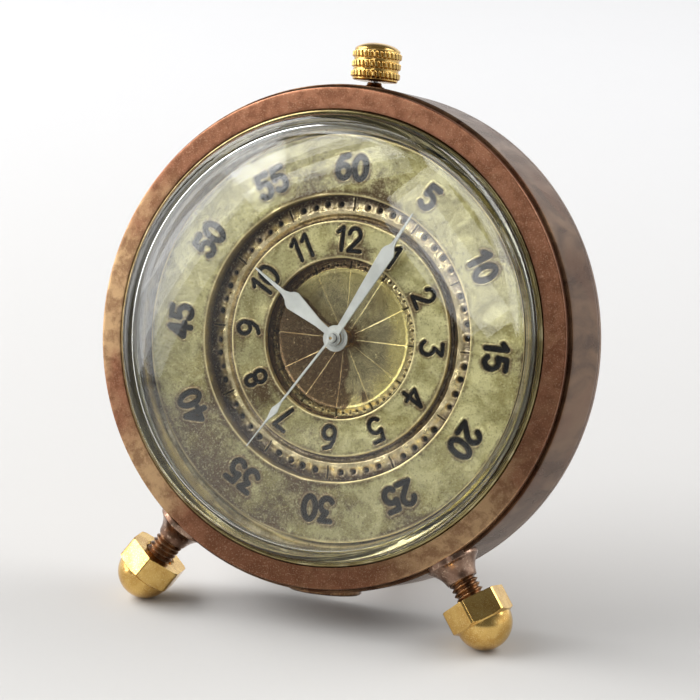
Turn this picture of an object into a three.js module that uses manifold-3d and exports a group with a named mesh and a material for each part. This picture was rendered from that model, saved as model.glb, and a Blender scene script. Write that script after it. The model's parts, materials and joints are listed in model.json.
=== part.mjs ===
// A small hand-wound table clock: a copper drum case on three stud-and-acorn-nut feet,
// a layered brass dial, three hands, a crown at twelve and a centre-seconds movement.
//
// Everything is drawn in the clock's own frame, in millimetres: X to the right, Z up along
// the dial, Y backwards along the hand axis, with Y = 0 at the front face of the bezel.
// The whole clock is then leaned back and set down on its feet.

import * as THREE from 'three';
import { mergeVertices } from 'three/addons/utils/BufferGeometryUtils.js';
import Module from 'manifold-3d';

const wasm = await Module();
wasm.setup();

// ---------------------------------------------------------------- driving dimensions

const LEAN = THREE.MathUtils.degToRad(14.9);

const CASE_SIDES = 48;
const CASE_R = 34.5;
const CASE_WALL = 2.1;
const CASE_FRONT = 1.55;
const CASE_BACK = 13.0;
const BORE_R = CASE_R - CASE_WALL;
const BEZEL_R = 34.0;
const BEZEL_BORE_R = 31.0;
const BEZEL_BACK = 1.5;
const COVER_FRONT = 13.05;
const COVER_BACK = 14.1;

const RING_R = 30.9;
const RING_BORE_R = 29.2;
const RING_FRONT = -0.25;
const RING_BACK = 5.9;
const CRYSTAL_R = 30.35;
const CRYSTAL_SEAT = 2.5;
const CRYSTAL_WALL = 1.4;
const DOME_TOP = -5.8;
const DOME_SHOULDER = -0.4;
const SHOULDER_ARC = 1.7;

const DIAL_R = 30.6;
const DIAL_FLOOR = 6.0;
const DIAL_BACK = 6.7;
const DISH_R = 11.0;
const DISH_FLOOR = 7.0;
const DISH_BACK = 7.5;
const OUTER_RING = { inner: 19.5, outer: 27.7, front: 3.7, back: 5.95 };
const INNER_RING = { inner: 11.0, outer: 16.15, front: 5.1, back: 5.95 };

const STEM_Y = 8.0;
const CROWN_R = 3.4;
const CROWN_LOW = 35.45;
const CROWN_TOP = 40.8;

const LEG_ANGLE = THREE.MathUtils.degToRad(35.6);
const LEG_Y = 3.9;
const NUT_START = 40.05 - CASE_R;
const REAR_NUT_START = 12.6;
const NUT_FLATS = 8.0;
const HEX_LENGTH = 3.4;
const DOME_R = 3.85;
const DOME_CENTRE = 3.4;
const STUD_R = 1.98;
const BOSS_BORE_R = 2.07;
const BOSS_LENGTH = 2.7;

const HOUR_ANGLE = 303.1;
const MINUTE_ANGLE = 28.5;
const SECOND_ANGLE = 214.1;

const PLATE_R = 18.5;
const PLATE_BACK = 9.4;
const BRIDGE_FRONT = 11.45;
const BRIDGE_BACK = 12.3;
const GAP = 0.05;

// Gear train: tooth counts, modules (mm) and levels (front and back, mm).
const BARREL_GEAR = { teeth: 72, module: 0.2, front: 9.95, back: 10.2 };
const CENTRE_PINION = { teeth: 12, module: 0.2, front: 9.75, back: 10.55 };
const CENTRE_GEAR = { teeth: 64, module: 0.16, front: 9.5, back: 9.75 };
const THIRD_PINION = { teeth: 8, module: 0.16, front: 9.45, back: 9.8 };
const THIRD_GEAR = { teeth: 60, module: 0.16941, front: 10.68, back: 10.88 };
const FOURTH_PINION = { teeth: 8, module: 0.16941, front: 10.64, back: 10.95 };
const FOURTH_GEAR = { teeth: 70, module: 0.147, front: 11.0, back: 11.2 };
const ESCAPE_PINION = { teeth: 7, module: 0.147, front: 10.95, back: 11.25 };
const LARGEST_PINION = 12;
const BORE_CURVE = 5;
const CANNON_GEAR = { teeth: 12, module: 0.15, front: 8.1, back: 8.5 };
const MINUTE_GEAR = { teeth: 36, module: 0.15, front: 8.1, back: 8.42 };
const MINUTE_PINION = { teeth: 10, module: 0.144, front: 7.62, back: 8.1 };
const HOUR_GEAR = { teeth: 40, module: 0.144, front: 7.64, back: 7.98 };
const WINDING_PINION = { teeth: 10, module: 0.2 };
const WINDING_GEAR = { teeth: 30, module: 0.2, front: 9.0, back: 9.3 };
const WINDING_PHASE = Math.PI / 2;
const RATCHET_GEAR = { teeth: 28, module: 0.2, front: 9.0, back: 9.3 };

// Places of the arbors in the plane of the movement.
const CENTRE_AT = { x: 0, z: 0 };
const BARREL_AT = polar(meshDistance(BARREL_GEAR, CENTRE_PINION), 110);
const THIRD_AT = polar(meshDistance(CENTRE_GEAR, THIRD_PINION), -35);
const ESCAPE_AT = polar(meshDistance(FOURTH_GEAR, ESCAPE_PINION), -110);
const PALLET_AT = polar(8.66, -110);
const BALANCE_AT = polar(13.46, -110);
const MINUTE_AT = polar(meshDistance(MINUTE_GEAR, CANNON_GEAR), 60);
const WINDING_REACH = meshDistance(WINDING_GEAR, RATCHET_GEAR);
const WINDING_AT = { x: 0, z: BARREL_AT.z + Math.sqrt(WINDING_REACH ** 2 - BARREL_AT.x ** 2) };

const BRIDGE_PILLARS = {
  barrel: [{ x: -14.2, z: 8.6 }, { x: 12.6, z: 9.2 }],
  train: [{ x: 15.2, z: -1.5 }, { x: 8.6, z: -13.2 }],
  balance: [{ x: -13.9, z: -9.2 }],
};
const PILLAR_R = 1.8;
const SCREW_R = 0.5;

// ---------------------------------------------------------------- materials

function metal(colour, roughness) {
  return new THREE.MeshStandardMaterial({ color: colour, metalness: 1.0, roughness });
}

const MATERIALS = {
  bezelCopper: metal(0xa8694b, 0.45),
  caseCopper: metal(0x7d5a50, 0.3),
  dialBrass: metal(0xb5a868, 0.4),
  dialDark: metal(0x6a5240, 0.5),
  ringBrass: metal(0x9a8850, 0.3),
  darkBrass: metal(0x7a6238, 0.4),
  goldBrass: metal(0xd0a548, 0.22),
  gilt: metal(0xc9a96a, 0.3),
  rhodium: metal(0xb9b9b4, 0.3),
  steel: metal(0x8f9297, 0.3),
  blueSteel: metal(0x2c3c6e, 0.3),
  handWhite: new THREE.MeshStandardMaterial({ color: 0xe4e4e0, metalness: 0.0, roughness: 0.5 }),
  glass: new THREE.MeshStandardMaterial({
    color: 0xeef2f0, metalness: 0.0, roughness: 0.05, transparent: true, opacity: 0.3,
  }),
};

// ---------------------------------------------------------------- helpers

const clock = new THREE.Group();

function polar(radius, degrees) {
  const angle = THREE.MathUtils.degToRad(degrees);
  return { x: radius * Math.cos(angle), z: radius * Math.sin(angle) };
}

function meshDistance(gear, pinion) {
  return ((gear.teeth + pinion.teeth) * gear.module) / 2;
}

function add(name, geometry, material) {
  const mesh = new THREE.Mesh(geometry, material);
  mesh.name = name;
  clock.add(mesh);
  return mesh;
}

function toSolid(geometry) {
  const bare = geometry.clone();
  bare.deleteAttribute('normal');
  bare.deleteAttribute('uv');
  const merged = mergeVertices(bare, 1e-5);
  const vertProperties = new Float32Array(merged.attributes.position.array);
  const triVerts = new Uint32Array(merged.index.array);
  return new wasm.Manifold(new wasm.Mesh({ numProp: 3, vertProperties, triVerts }));
}

function toGeometry(solid) {
  const mesh = solid.getMesh();
  const geometry = new THREE.BufferGeometry();
  geometry.setAttribute('position', new THREE.BufferAttribute(mesh.vertProperties, 3));
  geometry.setIndex(new THREE.BufferAttribute(mesh.triVerts, 1));
  geometry.computeVertexNormals();
  return geometry;
}

function join(...geometries) {
  return toGeometry(geometries.map(toSolid).reduce((whole, piece) => whole.add(piece)));
}

function cut(geometry, ...tools) {
  return toGeometry(tools.map(toSolid).reduce((whole, tool) => whole.subtract(tool), toSolid(geometry)));
}

// Turns an outline of [radius, y] points about the Y axis. An outline that leaves the axis
// is closed onto its own start. Points run so that the faces point outwards.
function turned(points, segments = 36, at = CENTRE_AT) {
  const outline = points.map(([radius, y]) => new THREE.Vector2(radius, y));
  if (points[0][0] > 0) outline.push(outline[0].clone());
  if (signedArea(outline) > 0) outline.reverse();
  outline.reverse();
  const geometry = new THREE.LatheGeometry(outline, segments);
  geometry.rotateY(Math.PI / 2);
  return geometry.translate(at.x, 0, at.z);
}

function signedArea(outline) {
  let area = 0;
  outline.forEach((point, i) => {
    const next = outline[(i + 1) % outline.length];
    area += point.x * next.y - next.x * point.y;
  });
  return area / 2;
}

// A tube or washer about the Y axis.
function hoop(inner, outer, front, back, segments = 36, at = CENTRE_AT) {
  return turned([[inner, front], [outer, front], [outer, back], [inner, back]], segments, at);
}

// A solid round bar about the Y axis.
function disc(radius, front, back, segments = 24, at = CENTRE_AT) {
  return turned([[0, front], [radius, front], [radius, back], [0, back]], segments, at);
}

function extrude(shape, depth, curveSegments = 12) {
  return new THREE.ExtrudeGeometry(shape, { depth, bevelEnabled: false, curveSegments });
}

// A flat shape, drawn with X right and Y up, given thickness from front to back.
function plate(shape, front, back) {
  return extrude(shape, back - front).rotateX(Math.PI / 2).translate(0, back, 0);
}

function block(x0, x1, y0, y1, z0, z1) {
  const geometry = new THREE.BoxGeometry(x1 - x0, y1 - y0, z1 - z0);
  return geometry.translate((x0 + x1) / 2, (y0 + y1) / 2, (z0 + z1) / 2);
}

function circlePath(radius, x = 0, y = 0) {
  return new THREE.Path().absarc(x, y, radius, 0, 2 * Math.PI);
}

// Stands a geometry drawn about the Y axis up along +Z, at the depth of the stem.
function alongStem(geometry) {
  return geometry.rotateX(Math.PI / 2).translate(0, STEM_Y, 0);
}

// ---------------------------------------------------------------- gears

// The outline of a spur gear with a round bore. Pinion leaves are straight-flanked with a
// flat tip, and the finer teeth of a wheel come to a point. phase is the angle of the middle
// of the first tooth.
function gearShape(gear, phase, bore) {
  const pitch = (gear.teeth * gear.module) / 2;
  const root = pitch - 1.1 * gear.module;
  const tip = gearTip(gear);
  const step = (2 * Math.PI) / gear.teeth;
  const leaf = [[root, -0.3], [tip, -0.1], [tip, 0.1], [root, 0.3]];
  const tooth = [[tip, 0], [root, 0.5]];
  const corners = gear.teeth > LARGEST_PINION ? tooth : leaf;
  const points = [];
  for (let i = 0; i < gear.teeth; i += 1) {
    for (const [radius, share] of corners) {
      const angle = phase + (i + share) * step;
      points.push(new THREE.Vector2(radius * Math.cos(angle), radius * Math.sin(angle)));
    }
  }
  const shape = new THREE.Shape(points);
  if (bore > 0) shape.holes.push(circlePath(bore));
  return shape;
}

function gearSolid(gear, phase = 0, bore = 0, at = CENTRE_AT) {
  const geometry = extrude(gearShape(gear, phase, bore), gear.back - gear.front, BORE_CURVE);
  return geometry.rotateX(Math.PI / 2).translate(at.x, gear.back, at.z);
}

// The phase that puts a gap of the driven gear over a tooth of the driving gear, on the
// line between their centres.
function matingPhase(driver, driverPhase, driven, from, to) {
  const line = Math.atan2(to.z - from.z, to.x - from.x);
  const driverStep = (2 * Math.PI) / driver.teeth;
  const drivenStep = (2 * Math.PI) / driven.teeth;
  const offset = (line - driverPhase) / driverStep;
  return line + Math.PI + (offset + 0.5) * drivenStep;
}

// ---------------------------------------------------------------- case

function caseBand() {
  const band = hoop(BORE_R, CASE_R, CASE_FRONT, CASE_BACK, CASE_SIDES);
  const stemHole = alongStem(disc(1.0, BORE_R - 2, CASE_R + 2, 16));
  const screwHoles = coverScrewPlaces().map((at) => disc(0.62, 9.6, CASE_BACK + 1, 10, at));
  add('case_band', cut(band, stemHole, ...screwHoles), MATERIALS.caseCopper);
}

function bezel() {
  const outline = [
    [BEZEL_BORE_R, 0.1], [BEZEL_BORE_R + 0.1, 0], [BEZEL_R - 0.35, 0], [BEZEL_R, 0.35],
    [BEZEL_R, BEZEL_BACK], [BEZEL_BORE_R, BEZEL_BACK],
  ];
  add('bezel', turned(outline, CASE_SIDES), MATERIALS.bezelCopper);
}

function crystalRing() {
  const seat = CRYSTAL_R + 0.1;
  const outline = [
    [seat, RING_FRONT], [RING_R, RING_FRONT], [RING_R, RING_BACK], [RING_BORE_R, RING_BACK],
    [RING_BORE_R, CRYSTAL_SEAT + GAP], [seat, CRYSTAL_SEAT + GAP],
  ];
  add('crystal_ring', turned(outline, CASE_SIDES), MATERIALS.ringBrass);
}

// Half of a dome's outline from its apex to its rim: a flat spherical cap, a rounded
// shoulder and a straight wall down to the seat.
function domeOutline(radius, apex, shoulder, arc, seat) {
  const capR = radius - arc;
  const capY = shoulder - arc * 0.95;
  const rise = capY - apex;
  const sphere = (capR ** 2 + rise ** 2) / (2 * rise);
  const points = [];
  for (let i = 0; i <= 4; i += 1) {
    const r = (capR * i) / 4;
    points.push([r, apex + sphere - Math.sqrt(sphere ** 2 - r ** 2)]);
  }
  for (const turn of [50, 90]) {
    const angle = THREE.MathUtils.degToRad(turn);
    points.push([capR + arc * Math.sin(angle), shoulder - arc * Math.cos(angle)]);
  }
  points.push([radius, seat]);
  return points;
}

function crystal() {
  const outside = domeOutline(CRYSTAL_R, DOME_TOP, DOME_SHOULDER, SHOULDER_ARC, CRYSTAL_SEAT);
  const inner = CRYSTAL_R - CRYSTAL_WALL;
  const inside = domeOutline(inner, DOME_TOP + CRYSTAL_WALL, DOME_SHOULDER + 0.9, 0.9, CRYSTAL_SEAT);
  add('crystal', turned([...outside, ...inside.reverse()]), MATERIALS.glass);
}

function coverScrewPlaces() {
  return [45, 135, 225, 315].map((degrees) => polar((BORE_R + CASE_R) / 2, degrees));
}

function backCover() {
  const cover = turned([
    [0, COVER_FRONT], [CASE_R, COVER_FRONT], [CASE_R, COVER_BACK - 0.3],
    [CASE_R - 0.3, COVER_BACK], [0, COVER_BACK],
  ], CASE_SIDES);
  const seats = coverScrewPlaces().map((at) => disc(0.95, COVER_BACK - 0.5, COVER_BACK + 1, 12, at));
  const holes = coverScrewPlaces().map((at) => disc(0.6, COVER_FRONT - 1, COVER_BACK + 1, 10, at));
  add('back_cover', cut(cover, ...seats, ...holes), MATERIALS.caseCopper);
}

// A slotted screw along Y with its head at the back.
function screw(name, at, shank, headR, start, headStart, headEnd, material) {
  const body = turned([
    [0, start], [shank, start], [shank, headStart], [headR, headStart], [headR, headEnd], [0, headEnd],
  ], 8, at);
  const slotFloor = headEnd - (headEnd - headStart) * 0.45;
  const reach = headR * 2;
  const half = headR * 0.16;
  const slot = block(at.x - reach, at.x + reach, slotFloor, headEnd + 1, at.z - half, at.z + half);
  add(name, cut(body, slot), material);
}

function backScrews() {
  coverScrewPlaces().forEach((at, i) => {
    const seat = COVER_BACK - 0.5 + GAP;
    screw(`back_screw_${i + 1}`, at, 0.5, 0.85, 9.8, seat, COVER_BACK - GAP, MATERIALS.steel);
  });
}

// ---------------------------------------------------------------- feet

// Places a piece drawn about the Y axis, with Y = 0 on the case wall and Y growing outwards,
// onto the wall at an angle from six o'clock.
function ontoWall(geometry, angle, depth) {
  geometry.rotateX(-Math.PI / 2);
  geometry.translate(0, depth, -CASE_R);
  return geometry.rotateY(angle);
}

function ontoBack(geometry, height) {
  return geometry.translate(0, COVER_BACK, height);
}

// The flared boss that carries a stud: wide where it is soldered to the case.
function bossBlank(start) {
  return turned([
    [BOSS_BORE_R, start], [3.72, start], [3.7, 0.15], [3.2, 0.45], [2.75, 0.9], [2.4, 1.6],
    [2.3, BOSS_LENGTH], [BOSS_BORE_R, BOSS_LENGTH],
  ], 18);
}

// A threaded stud, drawn as a plain rod at the size over its thread.
function studBlank(end) {
  const start = 0.15;
  const chamfer = 0.35;
  return turned([
    [0, start], [STUD_R, start], [STUD_R, end - chamfer], [STUD_R - chamfer, end], [0, end],
  ], 16);
}

// A domed cap nut: a hexagon with a blind bore, closed by a dome.
function nutBlank(start, turn) {
  const corner = NUT_FLATS / Math.sqrt(3);
  const hexagon = new THREE.CylinderGeometry(corner, corner, HEX_LENGTH, 6);
  hexagon.rotateY(turn).translate(0, start + HEX_LENGTH / 2, 0);
  const dome = [[0, HEX_LENGTH - 1], [DOME_R, HEX_LENGTH - 1]];
  for (let i = 0; i <= 4; i += 1) {
    const angle = (i * Math.PI) / 8;
    dome.push([i < 4 ? DOME_R * Math.cos(angle) : 0, DOME_CENTRE + DOME_R * Math.sin(angle)]);
  }
  const cap = turned(dome.map(([r, y]) => [r, start + y]), 18);
  const bore = disc(STUD_R + 0.07, start - 1, start + 4.4, 12);
  return cut(join(hexagon, cap), bore);
}

// The clock stands on three domes. Their centres share one level, which gives the height
// of the rear foot on the back cover. The rear nut is turned so that a flat faces down.
function rearFootHeight() {
  const frontDome = CASE_R + NUT_START + DOME_CENTRE;
  const level = -frontDome * Math.cos(LEG_ANGLE) * Math.cos(LEAN) - LEG_Y * Math.sin(LEAN);
  const rearDome = COVER_BACK + REAR_NUT_START + DOME_CENTRE;
  return (level + rearDome * Math.sin(LEAN)) / Math.cos(LEAN);
}

function feet() {
  const sides = [
    { name: 'left', angle: LEG_ANGLE, turn: THREE.MathUtils.degToRad(47) },
    { name: 'right', angle: -LEG_ANGLE, turn: THREE.MathUtils.degToRad(59) },
  ];
  const wall = disc(CASE_R + 0.06, -10, 30, 120);
  for (const side of sides) {
    const boss = cut(ontoWall(bossBlank(-0.6), side.angle, LEG_Y), wall);
    const stud = ontoWall(studBlank(NUT_START + 4.2), side.angle, LEG_Y);
    const nut = ontoWall(nutBlank(NUT_START, side.turn), side.angle, LEG_Y);
    add(`leg_boss_${side.name}`, boss, MATERIALS.darkBrass);
    add(`leg_stud_${side.name}`, stud, MATERIALS.darkBrass);
    add(`acorn_nut_${side.name}`, nut, MATERIALS.goldBrass);
  }
  const height = rearFootHeight();
  add('leg_boss_rear', ontoBack(bossBlank(GAP), height), MATERIALS.darkBrass);
  add('leg_stud_rear', ontoBack(studBlank(REAR_NUT_START + 4.2), height), MATERIALS.darkBrass);
  add('acorn_nut_rear', ontoBack(nutBlank(REAR_NUT_START, Math.PI / 6), height), MATERIALS.goldBrass);
}

// A low round pad under the case at six o'clock.
function bottomPlug() {
  const blank = turned([[0, -1.2], [5.1, -1.2], [5.1, 0.35], [4.7, 0.6], [0, 0.6]], 32);
  const wall = disc(CASE_R + 0.06, -10, 30, 120);
  add('bottom_plug', cut(ontoWall(blank, 0, 8.6), wall), MATERIALS.darkBrass);
}

// ---------------------------------------------------------------- dial and hands

function dial() {
  const outline = [
    [1.2, DISH_FLOOR], [DISH_R, DISH_FLOOR], [DISH_R + 0.1, DIAL_FLOOR], [DIAL_R, DIAL_FLOOR],
    [DIAL_R, DIAL_BACK], [DISH_R + 0.6, DIAL_BACK], [DISH_R + 0.5, DISH_BACK], [1.2, DISH_BACK],
  ];
  add('dial_plate', turned(outline), MATERIALS.dialDark);
  for (const [name, ring] of [['outer_chapter_ring', OUTER_RING], ['inner_chapter_ring', INNER_RING]]) {
    const ringOutline = [
      [ring.inner, ring.front], [ring.outer - 0.2, ring.front], [ring.outer, ring.front + 0.2],
      [ring.outer, ring.back], [ring.inner, ring.back],
    ];
    add(name, turned(ringOutline), MATERIALS.dialBrass);
  }
}

// A hand pointing up from its round hub, then turned clockwise by an angle in degrees.
// blade is a list of [distance from the hub, half width] from hub to tip.
function handShape(hubR, boreR, blade, degrees) {
  const turn = -THREE.MathUtils.degToRad(degrees);
  const origin = new THREE.Vector2();
  const hub = new THREE.Path();
  const neck = Math.asin(blade[0][1] / hubR);
  hub.absarc(0, 0, hubR, Math.PI / 2 + neck, Math.PI * 2.5 - neck, false);
  const right = blade.map(([length, width]) => new THREE.Vector2(width, length));
  const left = blade.map(([length, width]) => new THREE.Vector2(-width, length)).reverse();
  const outline = [...hub.getPoints(12), ...right, ...left];
  const shape = new THREE.Shape(tidy(outline).map((point) => point.rotateAround(origin, turn)));
  shape.holes.push(new THREE.Path(tidy(circlePath(boreR).getPoints(12))));
  return shape;
}

// Drops points that fall on the one before them.
function tidy(points) {
  return points.filter((p, i) => p.distanceTo(points[(i + points.length - 1) % points.length]) > 1e-4);
}

function hands() {
  const hourBlade = [[1.9, 0.45], [3.4, 0.5], [8.4, 1.35], [9.2, 0.75], [10.0, 0.35], [15.4, 0.08]];
  const minuteBlade = [[1.3, 0.4], [4.0, 0.5], [14.1, 1.05], [15.0, 0.5], [15.8, 0.28], [20.3, 0.08]];
  const secondBlade = [[0.8, 0.2], [11.4, 0.14], [12.8, 0.52], [14.2, 0.16], [19.3, 0.07]];
  const hour = plate(handShape(1.8, 1.04, hourBlade, HOUR_ANGLE), 3.7, 3.95);
  const minute = plate(handShape(1.05, 0.71, minuteBlade, MINUTE_ANGLE), 2.9, 3.15);
  const second = plate(handShape(0.65, 0.24, secondBlade, SECOND_ANGLE), 2.1, 2.3);
  add('hour_hand', hour, MATERIALS.handWhite);
  add('minute_hand', minute, MATERIALS.handWhite);
  add('second_hand', join(second, hoop(0.24, 0.5, 2.0, 2.75, 12)), MATERIALS.handWhite);
}

// ---------------------------------------------------------------- motion work

function motionWork() {
  const cannonPhase = 0;
  const minutePhase = matingPhase(CANNON_GEAR, cannonPhase, MINUTE_GEAR, CENTRE_AT, MINUTE_AT);
  const pinionPhase = 0;
  const hourPhase = matingPhase(MINUTE_PINION, pinionPhase, HOUR_GEAR, MINUTE_AT, CENTRE_AT);
  const cannon = join(
    gearSolid(CANNON_GEAR, cannonPhase, 0.5),
    hoop(0.5, 0.68, 2.85, CANNON_GEAR.back, 12),
  );
  const minuteWheel = join(
    gearSolid(MINUTE_GEAR, minutePhase, 0.36, MINUTE_AT),
    gearSolid(MINUTE_PINION, pinionPhase, 0.36, MINUTE_AT),
  );
  const hourWheel = join(
    gearSolid(HOUR_GEAR, hourPhase, 0.73),
    hoop(0.73, 1.0, 3.65, HOUR_GEAR.back, 12),
  );
  add('cannon_pinion', cannon, MATERIALS.steel);
  add('minute_wheel', minuteWheel, MATERIALS.gilt);
  add('hour_wheel', hourWheel, MATERIALS.gilt);
}

// ---------------------------------------------------------------- movement frame

function movementRing() {
  const ring = hoop(PLATE_R + 0.15, BORE_R - 0.15, 6.95, 10.5);
  const stemSlot = block(-1.3, 1.3, 6, 9.3, PLATE_R - 1, BORE_R + 1);
  add('movement_ring', cut(ring, stemSlot), MATERIALS.rhodium);
}

function mainPlate() {
  const rimFront = 7.0;
  const webFront = 8.6;
  const webR = 12.0;
  const blank = turned([
    [0.6, webFront], [webR, webFront], [webR, rimFront], [PLATE_R, rimFront],
    [PLATE_R, PLATE_BACK], [0.6, PLATE_BACK],
  ]);
  const pillars = Object.values(BRIDGE_PILLARS).flat();
  const tools = [
    block(-1.35, 1.35, 6, 10, 13.52, PLATE_R + 1),
    block(0.9, 6.5, 6, 7.7, 15.2, 18.0),
    block(-6.5, -0.9, 6, 7.7, 12.4, 16.6),
    disc(gearTip(WINDING_GEAR) + 0.2, 8.9, 10, 24, WINDING_AT),
    disc(gearTip(RATCHET_GEAR) + 0.2, 8.9, 10, 24, BARREL_AT),
    block(BARREL_AT.x - 5.2, BARREL_AT.x - 1.5, 8.9, 10, BARREL_AT.z - 2.6, BARREL_AT.z + 2.6),
    ...pillars.map((at) => disc(SCREW_R + 0.1, 6, 10, 10, at)),
    ...[THIRD_AT, ESCAPE_AT, PALLET_AT, BALANCE_AT].map((at) => disc(0.22, 6, 10, 8, at)),
    disc(0.55, 6, 10, 12, BARREL_AT),
  ];
  const post = disc(0.3, 7.64, webFront + 0.3, 10, MINUTE_AT);
  const windingPost = disc(0.5, 8.8, 9.35, 10, WINDING_AT);
  add('main_plate', join(cut(blank, ...tools), post, windingPost), MATERIALS.rhodium);
}

function gearTip(gear) {
  return (gear.teeth * gear.module) / 2 + 0.8 * gear.module;
}

// A bridge: its outline as a plate over the train, standing on round pillars, bored for
// its screws and pivots.
function bridge(name, shape, pillars, pivots, pivotR) {
  const plateSolid = plate(shape, BRIDGE_FRONT, BRIDGE_BACK);
  const feetSolids = pillars.map((at) => disc(PILLAR_R, PLATE_BACK + GAP, BRIDGE_BACK - 0.2, 16, at));
  const holes = [
    ...pillars.map((at) => disc(SCREW_R + 0.08, PLATE_BACK - 1, BRIDGE_BACK + 1, 10, at)),
    ...pivots.map((at) => disc(pivotR, BRIDGE_FRONT - 1, BRIDGE_BACK + 1, 10, at)),
  ];
  add(name, cut(join(plateSolid, ...feetSolids), ...holes), MATERIALS.rhodium);
}

function arcShape(from, to, corners) {
  const shape = new THREE.Shape();
  const steps = 14;
  for (let i = 0; i <= steps; i += 1) {
    const point = polar(18.2, from + ((to - from) * i) / steps);
    if (i === 0) shape.moveTo(point.x, point.z);
    else shape.lineTo(point.x, point.z);
  }
  corners.forEach(([x, z]) => shape.lineTo(x, z));
  return shape;
}

function balanceCockShape() {
  const foot = BRIDGE_PILLARS.balance[0];
  const along = Math.atan2(foot.z - BALANCE_AT.z, foot.x - BALANCE_AT.x);
  const shape = new THREE.Shape();
  shape.absarc(foot.x, foot.z, 2.6, along - Math.PI / 2, along + Math.PI / 2, false);
  shape.absarc(BALANCE_AT.x, BALANCE_AT.z, 1.7, along + Math.PI / 2, along + Math.PI * 1.5, false);
  return new THREE.Shape(tidy(shape.getPoints(6)));
}

function bridges() {
  const barrelShape = arcShape(16, 164, []);
  const trainCorners = [[-1.0, -10.0], [-4.7, -9.3], [-4.7, -3.0], [-1.9, 1.9]];
  const trainShape = arcShape(10, -70, trainCorners);
  const trainPivots = [CENTRE_AT, THIRD_AT, ESCAPE_AT, PALLET_AT];
  bridge('barrel_bridge', barrelShape, BRIDGE_PILLARS.barrel, [BARREL_AT], 0.55);
  bridge('train_bridge', trainShape, BRIDGE_PILLARS.train, trainPivots, 0.22);
  bridge('balance_cock', balanceCockShape(), BRIDGE_PILLARS.balance, [BALANCE_AT], 0.22);
  const seat = BRIDGE_BACK + GAP;
  Object.values(BRIDGE_PILLARS).flat().forEach((at, i) => {
    screw(`bridge_screw_${i + 1}`, at, SCREW_R, 0.95, 8.0, seat, 12.85, MATERIALS.blueSteel);
  });
}

// ---------------------------------------------------------------- going train

// An arbor with a thin pivot at each end.
function arbor(at, radius, front, back) {
  const pivot = 0.16;
  return turned([
    [0, 8.9], [pivot, 8.9], [pivot, front], [radius, front],
    [radius, back], [pivot, back], [pivot, 11.9], [0, 11.9],
  ], 8, at);
}

function barrel() {
  const gear = gearSolid(BARREL_GEAR, 0, 0.75, BARREL_AT);
  const drum = hoop(6.5, 6.8, BARREL_GEAR.front + 0.1, 10.75, 28, BARREL_AT);
  add('mainspring_barrel', join(gear, drum), MATERIALS.gilt);
  add('barrel_cover', hoop(0.75, 6.8, 10.8, 10.92, 28, BARREL_AT), MATERIALS.gilt);
}

// A flat spiral strip about a centre.
function spiral(name, at, innerR, outerR, turns, stepsPerTurn, thickness, front, back, material) {
  const steps = turns * stepsPerTurn;
  const outer = [];
  const inner = [];
  for (let i = 0; i <= steps; i += 1) {
    const angle = (2 * Math.PI * i) / stepsPerTurn;
    const radius = innerR + ((outerR - innerR) * i) / steps;
    outer.push(new THREE.Vector2(at.x + radius * Math.cos(angle), at.z + radius * Math.sin(angle)));
    const low = radius - thickness;
    inner.push(new THREE.Vector2(at.x + low * Math.cos(angle), at.z + low * Math.sin(angle)));
  }
  add(name, plate(new THREE.Shape([...outer, ...inner.reverse()]), front, back), material);
}

function springs() {
  spiral('mainspring', BARREL_AT, 1.5, 6.4, 5, 14, 0.25, 10.27, 10.7, MATERIALS.blueSteel);
  spiral('hairspring', BALANCE_AT, 0.75, 2.9, 4, 12, 0.1, 11.12, 11.3, MATERIALS.blueSteel);
}

function barrelArbor() {
  const phase = matingPhase(WINDING_GEAR, WINDING_PHASE, RATCHET_GEAR, WINDING_AT, BARREL_AT);
  const post = turned([
    [0, 8.65], [0.5, 8.65], [0.5, 9.0], [0.68, 9.0], [0.68, 11.3], [0.5, 11.3], [0.5, 12.25], [0, 12.25],
  ], 16, BARREL_AT);
  add('barrel_arbor', join(gearSolid(RATCHET_GEAR, phase, 0, BARREL_AT), post), MATERIALS.steel);
}

function centreWheel(pinionPhase) {
  const tube = hoop(0.27, 0.45, 4.6, CENTRE_PINION.back, 10);
  const wheel = gearSolid(CENTRE_GEAR, 0, 0.27);
  const pinion = gearSolid(CENTRE_PINION, pinionPhase, 0.27);
  add('centre_wheel', join(wheel, pinion, tube), MATERIALS.gilt);
}

function goingTrain() {
  const barrelToCentre = matingPhase(BARREL_GEAR, 0, CENTRE_PINION, BARREL_AT, CENTRE_AT);
  const centreToThird = matingPhase(CENTRE_GEAR, 0, THIRD_PINION, CENTRE_AT, THIRD_AT);
  const thirdToFourth = matingPhase(THIRD_GEAR, 0, FOURTH_PINION, THIRD_AT, CENTRE_AT);
  const fourthToEscape = matingPhase(FOURTH_GEAR, 0, ESCAPE_PINION, CENTRE_AT, ESCAPE_AT);
  centreWheel(barrelToCentre);
  add('third_wheel', join(
    gearSolid(THIRD_PINION, centreToThird, 0, THIRD_AT),
    gearSolid(THIRD_GEAR, 0, 0, THIRD_AT),
    arbor(THIRD_AT, 0.25, 9.45, 11.35),
  ), MATERIALS.gilt);
  const secondsArbor = turned([
    [0, 2.05], [0.2, 2.05], [0.2, 11.4], [0.16, 11.4], [0.16, 11.9], [0, 11.9],
  ], 10);
  add('fourth_wheel', join(
    gearSolid(FOURTH_PINION, thirdToFourth, 0),
    gearSolid(FOURTH_GEAR, 0, 0),
    secondsArbor,
  ), MATERIALS.gilt);
  add('escape_wheel', join(
    gearSolid(ESCAPE_PINION, fourthToEscape, 0, ESCAPE_AT),
    plate(escapeShape(), 10.2, 10.4),
    arbor(ESCAPE_AT, 0.22, 9.6, 11.35),
  ), MATERIALS.steel);
}

// ---------------------------------------------------------------- escapement

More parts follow.
